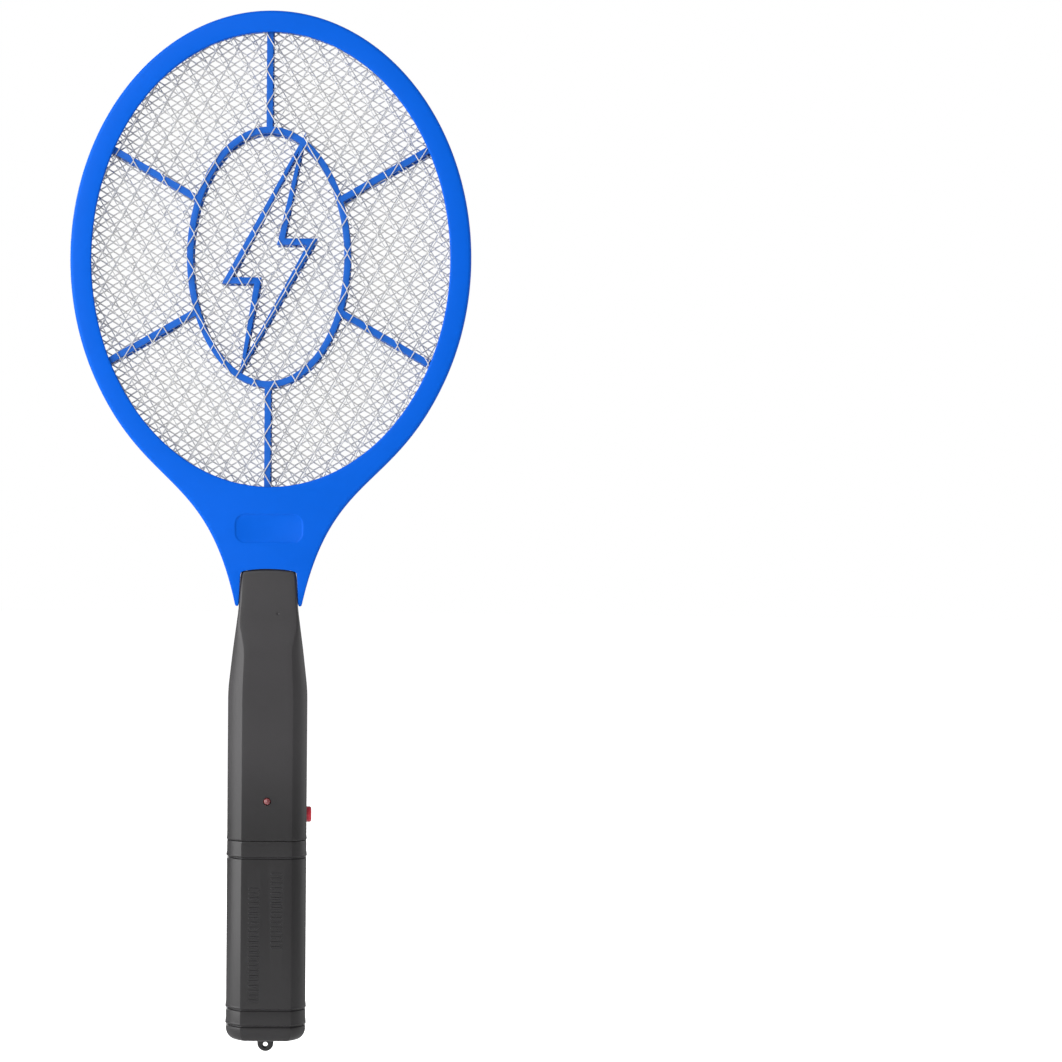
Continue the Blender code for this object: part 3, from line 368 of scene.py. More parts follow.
def head_half(name, side, sinks):
    """One half of the shell. Sinks are the screw holes in its outer face."""
    face_y = side * skin_y
    outline, radii = head_outline()
    bm = bmesh.new()
    loops = [lay_loop(bm, shifted(outline, groove_in), side * meeting), lay_loop(bm, outline, side * seam)]
    for inward, back in round_over(1.0, 6):
        ring = shifted(outline, [r * inward for r in radii])
        loops.append([bm.verts.new((x, face_y - side * r * back, z)) for (x, z), r in zip(ring, radii)])
    stack(bm, loops)
    extra = 0.0020 if side > 0 else 0.0

    def opening_loop(grow, y):
        half_sizes = (opening_half_width + grow + extra, opening_half_height + grow + extra)
        return lay_loop(bm, ring_points((0, opening_z), half_sizes, 180), y)

    inner = [opening_loop(back, face_y - side * inward) for inward, back in round_over(0.0008, 5)]
    lip_y = face_y - side * lip
    rebate = opening_reach + 0.0003 - extra
    inner += [opening_loop(0.0, lip_y), opening_loop(rebate, lip_y), opening_loop(rebate, side * meeting)]
    stack(bm, inner)
    holes = [inner[0]]

    def recess(points, steps):
        """A hollow in the outer face: steps are (inset, depth), from its edge to its sole."""
        rows = [lay_loop(bm, shifted(points, inset), face_y - side * depth) for inset, depth in steps]
        stack(bm, rows)
        fill_loops(bm, [rows[-1]])
        holes.append(rows[0])

    if side < 0:
        recess(rounded_box((0, 0.1515), 0.0154, 0.0067, 0.0048),
               ((0.0, 0.0), (0.00015, 0.00008), (0.0006, 0.00042), (0.0009, 0.0005)))
    for x, z, radius, depth in sinks:
        recess(ring_points((x, z), (radius, radius), 28), ((-0.00025, 0.0), (0.0, 0.00025), (0.0, depth)))
    fill_loops(bm, [loops[-1]] + holes)
    fill_loops(bm, [loops[0], inner[-1]])
    half = finished(name, bm, 28.0)
    hollow = (lip_y, -side * 0.001)
    cut(half, block(name + "_pocket", 0.0126, hollow, (horn_tip[1] - 0.01, 0.1530)))
    cut(half, block(name + "_lead_way", 0.0095, hollow, (0.1520, 0.1720)))
    return half


def texture_space(tree, scale=(1, 1, 1)):
    """The object's own space, stretched, for textures that stay put on a piece."""
    where = add(tree, 'TexCoord').outputs["Object"]
    return add(tree, 'Mapping', {"Vector": where, "Scale": scale}).outputs["Vector"]


def noise(tree, scale, space, **sockets):
    """An even cloud of noise; other sockets, such as detail, are given by name."""
    made = add(tree, 'TexNoise', {"Scale": scale, "Vector": space})
    feed(tree, made, {label.title(): value for label, value in sockets.items()})
    return made.outputs["Fac"]


def calc(tree, operation, first, second):
    return add(tree, 'Math', {0: first, 1: second}, operation=operation).outputs[0]


def blended(tree, factor, first, second):
    ends = [(*end, 1.0) if isinstance(end, tuple) else end for end in (first, second)]
    made = add(tree, 'Mix', {"Factor": factor, "A": ends[0], "B": ends[1]}, data_type='RGBA')
    return made.outputs["Result"]


def bumped(tree, height, distance, strength=1.0):
    made = add(tree, 'Bump', {"Height": height, "Distance": distance, "Strength": strength})
    return made.outputs["Normal"]


# Moulded skin: what an injection-moulded wall shows close up. Fine spark texture from the tool, a slow
# wander of tone where the melt flowed, and edges rubbed a little paler and smoother than the faces.
skin_group = bpy.data.node_groups.new("moulded skin", 'ShaderNodeTree')
for label, kind, value in (("Vector", 'Vector', (0, 0, 0)), ("Color", 'Color', (0.5, 0.5, 0.5, 1)),
                           ("Worn Color", 'Color', (0.8, 0.8, 0.8, 1)), ("Roughness", 'Float', 0.4),
                           ("Tone", 'Float', 0.06), ("Wear", 'Float', 0.3), ("Edge", 'Float', 0.0006),
                           ("Grain", 'Float', 2500.0)):
    socket = skin_group.interface.new_socket(label, in_out='INPUT', socket_type='NodeSocket' + kind)
    socket.default_value = value
for label, kind in (("Color", 'Color'), ("Roughness", 'Float'), ("Height", 'Float')):
    skin_group.interface.new_socket(label, in_out='OUTPUT', socket_type='NodeSocket' + kind)
given = skin_group.nodes.new('NodeGroupInput').outputs
flow = noise(skin_group, 38.0, given["Vector"], detail=4.0)
grain = noise(skin_group, given["Grain"], given["Vector"], detail=3.0, roughness=0.65)
rub = noise(skin_group, 160.0, given["Vector"], detail=5.0)
corner = add(skin_group, 'Bevel', {"Radius": given["Edge"]}, samples=6).outputs["Normal"]
face_way = add(skin_group, 'NewGeometry').outputs["Normal"]
meet = add(skin_group, 'VectorMath', {0: corner, 1: face_way}, operation='DOT_PRODUCT').outputs["Value"]
bend = calc(skin_group, 'SUBTRACT', 1.0, meet)
edge_mask = calc(skin_group, 'MINIMUM', calc(skin_group, 'MULTIPLY', bend, 5.0), 1.0)
wear_mask = calc(skin_group, 'MULTIPLY', calc(skin_group, 'MULTIPLY', edge_mask, rub), given["Wear"])
wander = calc(skin_group, 'MULTIPLY', calc(skin_group, 'SUBTRACT', flow, 0.5), 2.0)
shade = calc(skin_group, 'ADD', calc(skin_group, 'MULTIPLY', wander, given["Tone"]), 1.0)
toned = add(skin_group, 'VectorMath', {0: given["Color"], "Scale": shade}, operation='SCALE')
gloss = calc(skin_group, 'ADD', given["Roughness"], calc(skin_group, 'MULTIPLY', wander, 0.05))
feed(skin_group, skin_group.nodes.new('NodeGroupOutput'), {
    "Color": blended(skin_group, wear_mask, toned.outputs["Vector"], given["Worn Color"]),
    "Roughness": calc(skin_group, 'SUBTRACT', gloss, calc(skin_group, 'MULTIPLY', wear_mask, 0.12)),
    "Height": calc(skin_group, 'ADD', grain, calc(skin_group, 'MULTIPLY', flow, 0.6))})


def plastic(name, colour, worn, roughness, tone=0.06, wear=0.35, grain_scale=2500.0, depth=0.00002,
            edge=0.0006, **uniform):
    """Moulded plastic: its colour, the colour it wears to at the edges, and how deep the texture is."""
    made, tree, shader = painted(name, roughness, **uniform)
    skin = add(tree, 'Group', {"Vector": texture_space(tree), "Color": (*colour, 1.0),
                               "Worn Color": (*worn, 1.0), "Roughness": roughness, "Tone": tone, "Wear": wear,
                               "Edge": edge, "Grain": grain_scale}, node_tree=skin_group).outputs
    feed(tree, shader, {"Base Color": skin["Color"], "Roughness": skin["Roughness"],
                        "Normal": bumped(tree, skin["Height"], depth, 0.6)})
    return made


def give(piece, body, node_names, slot_name, *materials):
    """Finishes a piece: its materials, the body it moves with and the CAD nodes that it stands for."""
    for finish in materials:
        piece.data.materials.append(finish)
    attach(piece, body)
    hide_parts(*node_names)
    return piece


blue_abs = plastic("frame_blue_abs", (0.0005, 0.105, 0.63), (0.03, 0.22, 0.76), 0.40, tone=0.05, wear=0.4,
                   specular_ior_level=0.08)
ring_screws = ["ring_screw_%d" % number for number in range(1, 7)]
throat_screws = ["throat_screw_1", "throat_screw_2"]
screw_sinks = []
for node in ring_screws + throat_screws:
    low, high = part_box(node)
    middle = (low + high) / 2
    screw_sinks.append((middle.x, middle.z, 0.0021, 0.0018))
for name, node, side, sinks in (("head_front_shell", "head_front_frame", -1, []),
                                ("head_rear_shell", "head_rear_frame", 1, screw_sinks)):
    give(head_half(name, side, sinks), "swatter", [node], "blue_plastic", blue_abs)


# Insulating grilles: two thin ribbed plates of the same blue ABS that keep the charged middle mesh apart from
# the outer ones. Each has a rim under the frame's lip, six spokes, an oval hoop and a zigzag rib inside it.
rib_blue = plastic("grille_blue_abs", (0.010, 0.115, 0.52), (0.06, 0.24, 0.66), 0.42, tone=0.05, wear=0.3,
                   specular_ior_level=0.18)
rib_front = abs(grille_low.y)
rib_back = abs(grille_high.y)
rib_width = 0.0029
rim_hidden = 0.0018             # the rims stay this far behind the opening's edge
oval_z = 0.2734
oval_reach = (0.0368, 0.0586)
spoke_foot = (0.0318, 0.0250)   # where the slanting spokes spring from the hoop, from its middle
spoke_z = 0.2742
spoke_lean = math.radians(30.0)
zigzag_z = 0.2725
zigzag = [(-0.0186, -0.0097), (-0.0048, -0.0097), (-0.0115, -0.0483), (0.0195, 0.0079), (0.0054, 0.0079),
          (0.01485, 0.0530)]


def ribbed(name, outer, inner, side, round_edge=0.00035):
    """A closed rib between an outer and an inner loop of equally many points, with rounded edges."""
    bm = bmesh.new()
    steps = round_over(round_edge, 3)
    rows = []
    for at_front, ring, sign in ((False, outer, 1), (True, outer, 1), (True, inner, -1), (False, inner, -1)):
        for inward, back in steps if at_front == (sign > 0) else reversed(steps):
            y = rib_front - back if at_front else rib_back + back
            rows.append(lay_loop(bm, shifted(ring, sign * inward), side * y))
    stack(bm, rows + rows[:1])
    return finished(name, bm, 40.0)


def rib_bar(name, start, end, side):
    """A straight rib: a narrow rounded plate, long enough to bite into what it joins."""
    start, end = Vector(start), Vector(end)
    across = Vector((start.y - end.y, end.x - start.x)).normalized() * rib_width / 2
    outline = [start - across, end - across, end + across, start + across]
    bm = bmesh.new()
    steps = round_over(0.00035, 3)
    rows = [lay_loop(bm, shifted(outline, inward), side * (rib_back + back))
            for inward, back in reversed(steps)]
    rows += [lay_loop(bm, shifted(outline, inward), side * (rib_front - back)) for inward, back in steps]
    stack(bm, rows, lids=True)
    return finished(name, bm, 40.0)


def run_to_oval(start, slope, half_x, half_z):
    """Where a line from a start point inside it leaves the opening's oval grown to these half sizes."""
    x, z = start[0], start[1] - opening_z
    dx, dz = slope
    a = (dx / half_x) ** 2 + (dz / half_z) ** 2
    b = 2 * (x * dx / half_x ** 2 + z * dz / half_z ** 2)
    c = (x / half_x) ** 2 + (z / half_z) ** 2 - 1
    t = (math.sqrt(b * b - 4 * a * c) - b) / (2 * a)
    return (start[0] + dx * t, start[1] + dz * t)


def grille(name, side, offset):
    """Offset is how far the ribs inside the rim stand off the plate's middle, in x and z."""
    rim = [ring_points((0, opening_z), (opening_half_width + grow, opening_half_height + grow), 160)
           for grow in (opening_reach, rim_hidden)]
    made = ribbed(name, *rim, side)
    middle = (offset[0], oval_z + offset[1])
    hoop = [ring_points(middle, (oval_reach[0] - inset, oval_reach[1] - inset), 96)
            for inset in (0.0, rib_width)]
    cut(made, ribbed(name + "_hoop", *hoop, side), 'UNION')
    bite = 0.0012
    spokes = [((middle[0], middle[1] + upright * (oval_reach[1] - bite)), (0, upright))
              for upright in (1, -1)]
    for across in (-1, 1):
        for upright in (-1, 1):
            foot = (offset[0] + across * spoke_foot[0], spoke_z + offset[1] + upright * spoke_foot[1])
            spokes.append((foot, (across * math.cos(spoke_lean), upright * math.sin(spoke_lean))))
    for number, (foot, slope) in enumerate(spokes, 1):
        end = run_to_oval(foot, slope, opening_half_width + 0.0025, opening_half_height + 0.0025)
        cut(made, rib_bar("%s_spoke_%d" % (name, number), foot, end, side), 'UNION')
    path = [(offset[0] + x, zigzag_z + offset[1] + z) for x, z in zigzag]
    edges = [shifted(path, reach, limit=3.0) for reach in (-rib_width / 2, rib_width / 2)]
    cut(made, ribbed(name + "_zigzag", *edges, side, 0.0003), 'UNION')
    smoothed(made.data, 38)
    return made


for name, node, side, offset in (("front_rib_grille", "front_grille", -1, (-0.0009, 0.0)),
                                 ("rear_rib_grille", "rear_grille", 1, (-0.0003, -0.0003))):
    give(grille(name, side, offset), "swatter", [node], "blue_plastic", rib_blue)


# Meshes: three sheets of expanded aluminium, slit and stretched into diamonds, held at their edges under the
# frame's lips. The outer two are coarse and tall-celled, the charged one between them fine and wide-celled.
def clip_to_oval(polygon, oval):
    """The part of a convex polygon that lies inside a convex counter-clockwise outline."""
    kept = polygon
    for a, b in zip(oval, oval[1:] + oval[:1]):
        edge = (b[0] - a[0], b[1] - a[1])

        def side_of(p):
            return edge[0] * (p[1] - a[1]) - edge[1] * (p[0] - a[0])

        source, kept = kept, []
        for p, q in zip(source, source[1:] + source[:1]):
            sp, sq = side_of(p), side_of(q)
            if sp >= 0:
                kept.append(p)
            if (sp > 0 > sq) or (sp < 0 < sq):
                t = sp / (sp - sq)
                kept.append((p[0] + (q[0] - p[0]) * t, p[1] + (q[1] - p[1]) * t))
        if len(kept) < 3:
            return []
    return kept


def expanded_sheet(name, y, cell, bond, strand, phase):
    """Diamond cells inside the frame's oval, turned into crossing strands."""
    width, height = cell
    half_x, half_z = (half + opening_reach - 0.0004 for half in (opening_half_width, opening_half_height))
    oval = ring_points((0, opening_z), (half_x, half_z), 120)
    bm = bmesh.new()
    columns = int(2 * half_x / width) + 3
    rows = int(2 * half_z / height) + 3
    half_bond, tip = bond / 2, height / 2 - bond / 2
    corners = ((0, -tip), (1, -half_bond), (1, half_bond), (0, tip), (-1, half_bond), (-1, -half_bond))
    for j in range(-rows, rows + 1):
        for i in range(-columns, columns + 1):
            cx, cz = phase[0] + i * width / 2, opening_z + phase[1] + j * height / 2
            if (i + j) % 2 or abs(cx) > half_x + width or abs(cz - opening_z) > half_z + height:
                continue
            diamond = [(cx + across * width / 2, cz + up) for across, up in corners]
            far = max(((px / half_x) ** 2 + ((pz - opening_z) / half_z) ** 2) for px, pz in diamond)
            shape_points = diamond if far < 0.98 else clip_to_oval(diamond, oval)
            if len(shape_points) >= 3:
                bm.faces.new(lay_loop(bm, shape_points, y))
    bmesh.ops.remove_doubles(bm, verts=bm.verts[:], dist=2e-6)
    bmesh.ops.dissolve_degenerate(bm, edges=bm.edges[:], dist=2e-6)
    sheet = finished(name, bm)
    wires = sheet.modifiers.new("strands", 'WIREFRAME')
    wires.thickness = strand
    wires.use_even_offset = wires.use_boundary = wires.use_replace = True
    woven = evaluated(sheet)
    sheet.modifiers.clear()
    sheet.data = woven
    smoothed(woven, 50)
    return sheet


def metal(name, colour, dark, roughness, scale=900.0, metallic=1.0):
    """Bare metal: rolled or plated, with fine streaks and a slow change of tone."""
    made, tree, shader = painted(name, roughness, metallic)
    space = texture_space(tree)
    streak = noise(tree, scale, space, detail=4.0)
    cloud = noise(tree, scale / 14, space)
    spread = calc(tree, 'MULTIPLY', streak, 0.16)
    feed(tree, shader, {"Base Color": blended(tree, cloud, dark, colour),
                        "Roughness": calc(tree, 'ADD', spread, roughness - 0.08),
                        "Normal": bumped(tree, streak, 0.00001, 0.5)})
    return made


bright_alloy = metal("mesh_bright_aluminium", (0.66, 0.66, 0.66), (0.57, 0.57, 0.57), 0.42, metallic=0.3)
dull_alloy = metal("mesh_dull_aluminium", (0.66, 0.655, 0.645), (0.56, 0.555, 0.55), 0.45, metallic=0.3)
front_mesh_low, front_mesh_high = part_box("front_mesh")
outer_y = -(front_mesh_low.y + front_mesh_high.y) / 2
coarse = ((0.00916, 0.01644), 0.0006, 0.00048)      # cell size, bond length, strand thickness
fine = ((0.00568, 0.00393), 0.0003, 0.00066)
for name, node, y, make, phase, alloy in (
        ("front_wire_mesh", "front_mesh", -outer_y, coarse, (0.0022, 0.0031), bright_alloy),
        ("charged_wire_mesh", "centre_mesh", 0.0, fine, (0.0, 0.0), dull_alloy),
        ("rear_wire_mesh", "rear_mesh", outer_y, coarse, (-0.0014, -0.0016), bright_alloy)):
    give(expanded_sheet(name, y, *make, phase), "swatter", [node], "mesh_metal", alloy)


# Frame screws: small pan-head self-tapping screws, zinc plated, with a cross recess. Six sit round the ring
# and two in the throat, all driven from the rear into bosses of the front half.
zinc = metal("screw_zinc_plate", (0.62, 0.62, 0.61), (0.46, 0.46, 0.47), 0.30, 1400.0)


def pan_screw(name, node):
    """A screw with a rounded head, a cross recess that stands at its own angle, and a threaded shank."""
    low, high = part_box(node)
    middle = (low + high) / 2
    head, shank = 0.0018, 0.0010
    seat = high.y - 0.0014
    stations = [(low.y, 0.0), (low.y + 0.0006, shank * 0.55)]
    turn = low.y + 0.0012
    while turn < seat - 0.0012:
        stations += [(turn, shank * 0.78), (turn + 0.0003, shank), (turn + 0.0006, shank * 0.78)]
        turn += 0.0008
    stations += [(seat - 0.0004, shank * 0.8), (seat, shank * 0.9), (seat, head)]
    for step in range(1, 6):
        angle = math.radians(18 * step)
        stations.append((seat + 0.0005 + 0.0009 * math.sin(angle), head * (0.35 + 0.65 * math.cos(angle))))
    made = lathe(name, stations, (middle.x, 0, middle.z), 'Y', 32)
    turned = (middle.x * 7000 + middle.z * 3000) % 90
    wide, thin = 0.00105, 0.00021
    for angle in (math.radians(turned), math.radians(turned + 90)):
        along = Vector((math.cos(angle), math.sin(angle)))
        cross = Vector((-along.y, along.x))
        bm = bmesh.new()
        rows = []
        for y, scale in ((high.y - 0.0007, 0.6), (high.y + 0.0004, 1.1)):
            ring = [Vector((middle.x, middle.z)) + along * a * wide * scale + cross * b * thin
                    for a, b in ((-1, -1), (1, -1), (1, 1), (-1, 1))]
            rows.append(lay_loop(bm, ring, y))
        stack(bm, rows, lids=True)
        cut(made, finished(name + "_recess", bm))
    made.data.set_sharp_from_angle(angle=math.radians(32))
    return give(made, "swatter", [node], "screw_steel", zinc)


for node in ring_screws + throat_screws:
    pan_screw(node.replace("_screw_", "_fixing_"), node)


# Handle shells: front and rear halves of black ABS with a fine satin texture. The grip is an octagon with
# wide bevels; above it the faces slope in to a neck that enters the head's throat, and its tongue goes on up.
shell_low, shell_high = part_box("handle_front_shell")
cover_low, cover_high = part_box("battery_cover")
grip_half_width = shell_high.x
grip_half_depth = -shell_low.y
grip_bevel = 0.0064
wall = 0.0020
shell_bottom = cover_high.z + 0.00015
tongue_top = shell_high.z
neck_z = 0.1318


# Height, half width, half depth, bevel and corner radius, from the cover up to the neck's top.
handle_profile = [(shell_bottom, grip_half_width, grip_half_depth, grip_bevel, 0.0010),
                  (0.0793, grip_half_width, grip_half_depth, grip_bevel, 0.0010),
                  (0.0970, 0.0158, grip_half_depth, 0.0052, 0.0011),
                  (0.1090, 0.0142, 0.0104, 0.0012, 0.0008),
                  (0.1167, 0.0132, 0.0093, 0.0010, 0.0008),
                  (0.1298, 0.0126, 0.0070, 0.0010, 0.0008),
                  (neck_z, 0.0122, 0.0067, 0.0010, 0.0008)]


def smooth_profile(steps):
    """The profile with its bends eased by short curves, as a list of sections."""
    knots = handle_profile
    ease = 0.0045
    sections = [knots[0]]
    for before, knot, after in zip(knots, knots[1:], knots[2:]):
        near = min(ease, (knot[0] - before[0]) * 0.45, (after[0] - knot[0]) * 0.45)
        start = [k + (b - k) * near / (knot[0] - before[0]) for k, b in zip(knot, before)]
        end = [k + (a - k) * near / (after[0] - knot[0]) for k, a in zip(knot, after)]
        for i in range(steps + 1):
            t = i / steps
            sections.append(tuple((1 - t) ** 2 * s + 2 * t * (1 - t) * k + t * t * e
                                  for s, k, e in zip(start, knot, end)))
    sections.append(knots[-1])
    foot = sections[0]
    lip = []
    for above, inset in ((0.0, 0.00030), (0.00010, 0.00012), (0.00030, 0.0), (0.00060, -0.00014),
                         (0.00085, -0.00019), (0.00110, -0.00014), (0.00140, 0.0)):
        width, depth, bevel, radius = shrunk(foot[1:], inset)
        lip.append((foot[0] + above, width, min(depth, grip_half_depth), bevel, radius))
    return lip + sections[1:]


def octagon_half(width, depth, bevel, radius, rise=0.0):
    """Half an octagon with rounded corners, as (x, y) from the +X side over the +Y face to the -X side."""
    bevel = max(bevel, 0.0006)
    corners = [(width, depth - bevel), (width - bevel, depth), (bevel - width, depth),
               (-width, depth - bevel)]
    chain = [(width, rise)] + corners + [(-width, rise)]
    points = [(width, rise)]
    for number in range(1, 5):
        corner = Vector(chain[number])
        to_before, to_after = Vector(chain[number - 1]) - corner, Vector(chain[number + 1]) - corner
        bend = radius * (0.6 if number in (2, 3) else 1.0)
        reach = min(bend / math.tan(to_before.angle(to_after) / 2), to_before.length * 0.45,
                    to_after.length * 0.45)
        if number in (2, 4):
            left_off = Vector(points[-1])
            near = corner + to_before.normalized() * reach
            outward = Vector((1 if number == 2 else -1, 1)).normalized()
            crown = 0.045 * (near - left_off).length
            for i in range(1, 8):
                t = i / 8
                points.append(tuple(left_off.lerp(near, t) + outward * crown * 4 * t * (1 - t)))
        start, end = corner + to_before.normalized() * reach, corner + to_after.normalized() * reach
        for i in range(6):
            t = i / 5
            spot = (1 - t) ** 2 * start + 2 * t * (1 - t) * corner + t * t * end
            points.append((spot.x, spot.y))
        if number == 2:
            far = Vector(chain[3]) + (corner - Vector(chain[3])).normalized() * reach
            points += [tuple(end.lerp(far, i / 10)) for i in range(1, 10)]
    points.append((-width, rise))
    return points


def shrunk(section, inset):
    """A section (half width, half depth, bevel, corner radius) moved in evenly."""
    width, depth, bevel, radius = section
    return (width - inset, depth - inset, bevel - inset * (2 - math.sqrt(2)),
            max(radius - 0.3 * inset, 0.0003))


def octagon_ring(section):
    half = octagon_half(*section)[1:-1]
    return half + [(-x, -y) for x, y in half]


def octagon_tube(name, rows):
    """A closed solid through octagon sections: rows are (height, section)."""
    bm = bmesh.new()
    loops = [[bm.verts.new((x, y, z)) for x, y in octagon_ring(section)] for z, section in rows]
    stack(bm, loops, lids=True)
    return finished(name, bm, 30.0)


def arch(x):
    """The neck's top edge, and the mouth that it fits, are highest in the middle."""
    return max(0.0008 * (1 - (x / 0.0124) ** 2), 0.0)


def half_section(section):
    """Half an octagon that meets the other half inside a fine groove."""
    half = octagon_half(*section, seam)
    edge = section[0] - groove_in
    return [(edge, meeting)] + half + [(-edge, meeting)]


def handle_half(name, side):
    """A shell half: outer and inner walls, the flat seam between them and the rounded top of the neck."""
    bm = bmesh.new()
    outer_rows, inner_rows = [], []
    for z, *section in smooth_profile(6):
        top = max(0.0, (z - 0.1290) / (neck_z - 0.1290))
        outer_rows.append([bm.verts.new((x, side * y, z + top * arch(x)))
                           for x, y in half_section(section)])
        inner_rows.append([bm.verts.new((x, side * y, min(z, neck_z - wall)))
                           for x, y in half_section(shrunk(section, wall))])
    while inner_rows[-2][0].co.z > neck_z - wall - 1e-6:
        bmesh.ops.delete(bm, geom=inner_rows.pop(), context='VERTS')
    for inward, back in round_over(1.0, 3)[1:]:
        ring = half_section(shrunk(handle_profile[-1][1:], 0.0007 * inward))
        outer_rows.append([bm.verts.new((x, side * y, neck_z + arch(x) + 0.0003 * (1 - back)))
                           for x, y in ring])
    for rows in (outer_rows, inner_rows):
        for low, high in zip(rows, rows[1:]):
            for i in range(len(low) - 1):
                bm.faces.new((low[i], low[i + 1], high[i + 1], high[i]))
    for i in range(len(outer_rows[0]) - 1):
        bm.faces.new((outer_rows[0][i], outer_rows[0][i + 1], inner_rows[0][i + 1], inner_rows[0][i]))
    fill_loops(bm, [outer_rows[-1]])
    bm.faces.new(inner_rows[-1])
    for end in (0, -1):
        bm.faces.new([row[end] for row in outer_rows] + [row[end] for row in reversed(inner_rows)])
    bm.faces.new((outer_rows[-1][0], inner_rows[-1][0], inner_rows[-1][-1], outer_rows[-1][-1]))
    return finished(name, bm, 30.0)


black_abs = plastic("handle_black_abs", (0.033, 0.031, 0.033), (0.12, 0.12, 0.125), 0.36, tone=0.10, wear=0.5,
                    grain_scale=3200.0, depth=0.00003, specular_ior_level=0.45)
grip_tree = black_abs.node_tree
# Painted shade: the handle's black is darkened smoothly towards its lower end, to a third of it just above
# the cover, for light that falls off down the grip.
grip_height = add(grip_tree, 'SeparateXYZ', {"Vector": texture_space(grip_tree)}).outputs["Z"]
shade_by_height = add(grip_tree, 'MapRange', {"Value": grip_height, "From Min": 0.008, "From Max": 0.060,
                                      "To Min": 0.34, "To Max": 1.0}, interpolation_type='SMOOTHSTEP')
painted_shade_colour = add(grip_tree, 'VectorMath', {0: grip_tree.nodes["Group"].outputs["Color"],
                                            "Scale": shade_by_height.outputs["Result"]}, operation='SCALE')
feed(grip_tree, grip_tree.nodes["Principled BSDF"], {"Base Color": painted_shade_colour.outputs["Vector"]})
led_low, led_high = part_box("indicator_led")
button_low, button_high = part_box("push_button")
led_z = (led_low.z + led_high.z) / 2
button_z = (button_low.z + button_high.z) / 2
handle_screws = ["handle_screw_1", "handle_screw_2"]
handle_screw_z = [((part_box(node)[0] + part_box(node)[1]) / 2).z for node in handle_screws]
spigot_bottom = shell_low.z
grip_section = (grip_half_width, grip_half_depth, grip_bevel, 0.0010)
for name, node, side in (("handle_shell_front", "handle_front_shell", -1),
                         ("handle_shell_rear", "handle_rear_shell", 1)):
    shell = handle_half(name, side)
    tongue = block(name + "_tongue", 0.0095, (side * meeting, side * 0.0052), (0.1290, tongue_top))
    cut(shell, tongue, 'UNION')
    lead_way = (0.1270, tongue_top + 0.001)
    cut(shell, block(name + "_lead_way", 0.0035, (-side * 0.001, side * 0.0034), lead_way))
    spigot = octagon_tube(name + "_spigot", [(z, shrunk(grip_section, wall + inset)) for z, inset in (
        (spigot_bottom, 0.0007), (spigot_bottom + 0.0004, 0.0004), (shell_bottom + 0.0010, 0.0004),
        (shell_bottom + 0.0018, -0.0007), (shell_bottom + 0.0040, -0.0007))])
    bore = shrunk(grip_section, 2 * wall + 0.0003)
    cut(spigot, octagon_tube(name + "_bore", [(spigot_bottom - 0.001, bore), (0.020, bore)]))
    cut(spigot, block(name + "_rest", 0.03, (-side * 0.03, side * meeting), (-0.01, 0.03)))
    cut(shell, spigot, 'UNION')
    for z in handle_screw_z:
        post = [(side * 0.0106, 0.0), (side * 0.0106, 0.0031), (side * meeting, 0.0031),
                (side * meeting, 0.0)]
        cut(shell, lathe(name + "_post", post, (0, 0, z), 'Y', 32), 'UNION')
        if side > 0:
            sink = [(-0.002, 0.0), (-0.002, 0.0013), (0.0085, 0.0013), (0.0085, 0.0021), (0.0122, 0.0021),
                    (0.0126, 0.0025), (0.0140, 0.0039), (0.0140, 0.0)]
        else:
            sink = [(-0.0075, 0.0), (-0.0075, 0.0013), (0.001, 0.0013), (0.001, 0.0)]
        cut(shell, lathe(name + "_screw_hole", sink, (0, 0, z), 'Y', 32))
    port = [(0.0100, 0.0), (0.0100, 0.0038), (0.0173, 0.0038), (0.0179, 0.0044), (0.0200, 0.0065),
            (0.0200, 0.0)]
    cut(shell, lathe(name + "_port", port, (0, 0, button_z), 'X', 48))
    if side < 0:
        window = [(-0.0200, 0.0), (-0.0200, 0.0024), (-0.0127, 0.0019), (-0.0122, 0.0017), (-0.0080, 0.0017),
                  (-0.0080, 0.0)]
        dimple = [(-0.0110, 0.0), (-0.0110, 0.0014), (-0.0100, 0.0009), (-0.0095, 0.0005), (-0.0093, 0.0)]
        cut(shell, lathe(name + "_window", window, (0, 0, led_z), 'Y', 40))
        cut(shell, lathe(name + "_dimple", dimple, (0.0043, 0, 0.1135), 'Y', 32))
    smoothed(shell.data, 30)
    give(shell, "swatter", [node], "black_plastic", black_abs)

for node in handle_screws:
    pan_screw(node.replace("_screw_", "_fixing_"), node)


# Battery cover: a deep cup of the same black ABS that slides up over the spigot and the battery tray. It has
# moulded grooves near each end, a rounded bottom and two columns of low ribs for the fingers.
groove_heights = (0.0046, -0.0632, -0.0705)
groove_depth = 0.0007
bottom_round = 0.0052
cover_floor = 0.0026


def cover_rows():
    """Heights with how far the wall is set in, from the rounded bottom to the top, with the grooves."""
    spots = {}
    for i in range(15):
        spots[cover_low.z + bottom_round * (1 - math.cos(math.radians(90 * i / 14)))] = 0.0
    for z in groove_heights:
        for offset, depth in ((-0.00100, 0.0), (-0.00080, 0.06), (-0.00055, 0.45), (-0.00034, 0.90),
                              (-0.00016, 1.0), (0.00004, 0.90), (0.00022, 0.40), (0.00036, 0.0),
                              (0.00052, -0.30), (0.00074, -0.45), (0.00098, -0.30), (0.00125, -0.08),
                              (0.00150, 0.0)):
            spots[z + offset] = groove_depth * depth
    for offset, depth in ((0.0008, 0.0), (0.00028, 0.00005), (0.0001, 0.00014), (0.0, 0.0003)):
        spots[cover_high.z - offset] = depth
    rows = []
    for z, groove in sorted(spots.items()):
        below = max(0.0, 1 - (z - cover_low.z) / bottom_round)
        rows.append((z, groove, bottom_round * (1 - math.sqrt(1 - below * below))))
    return rows


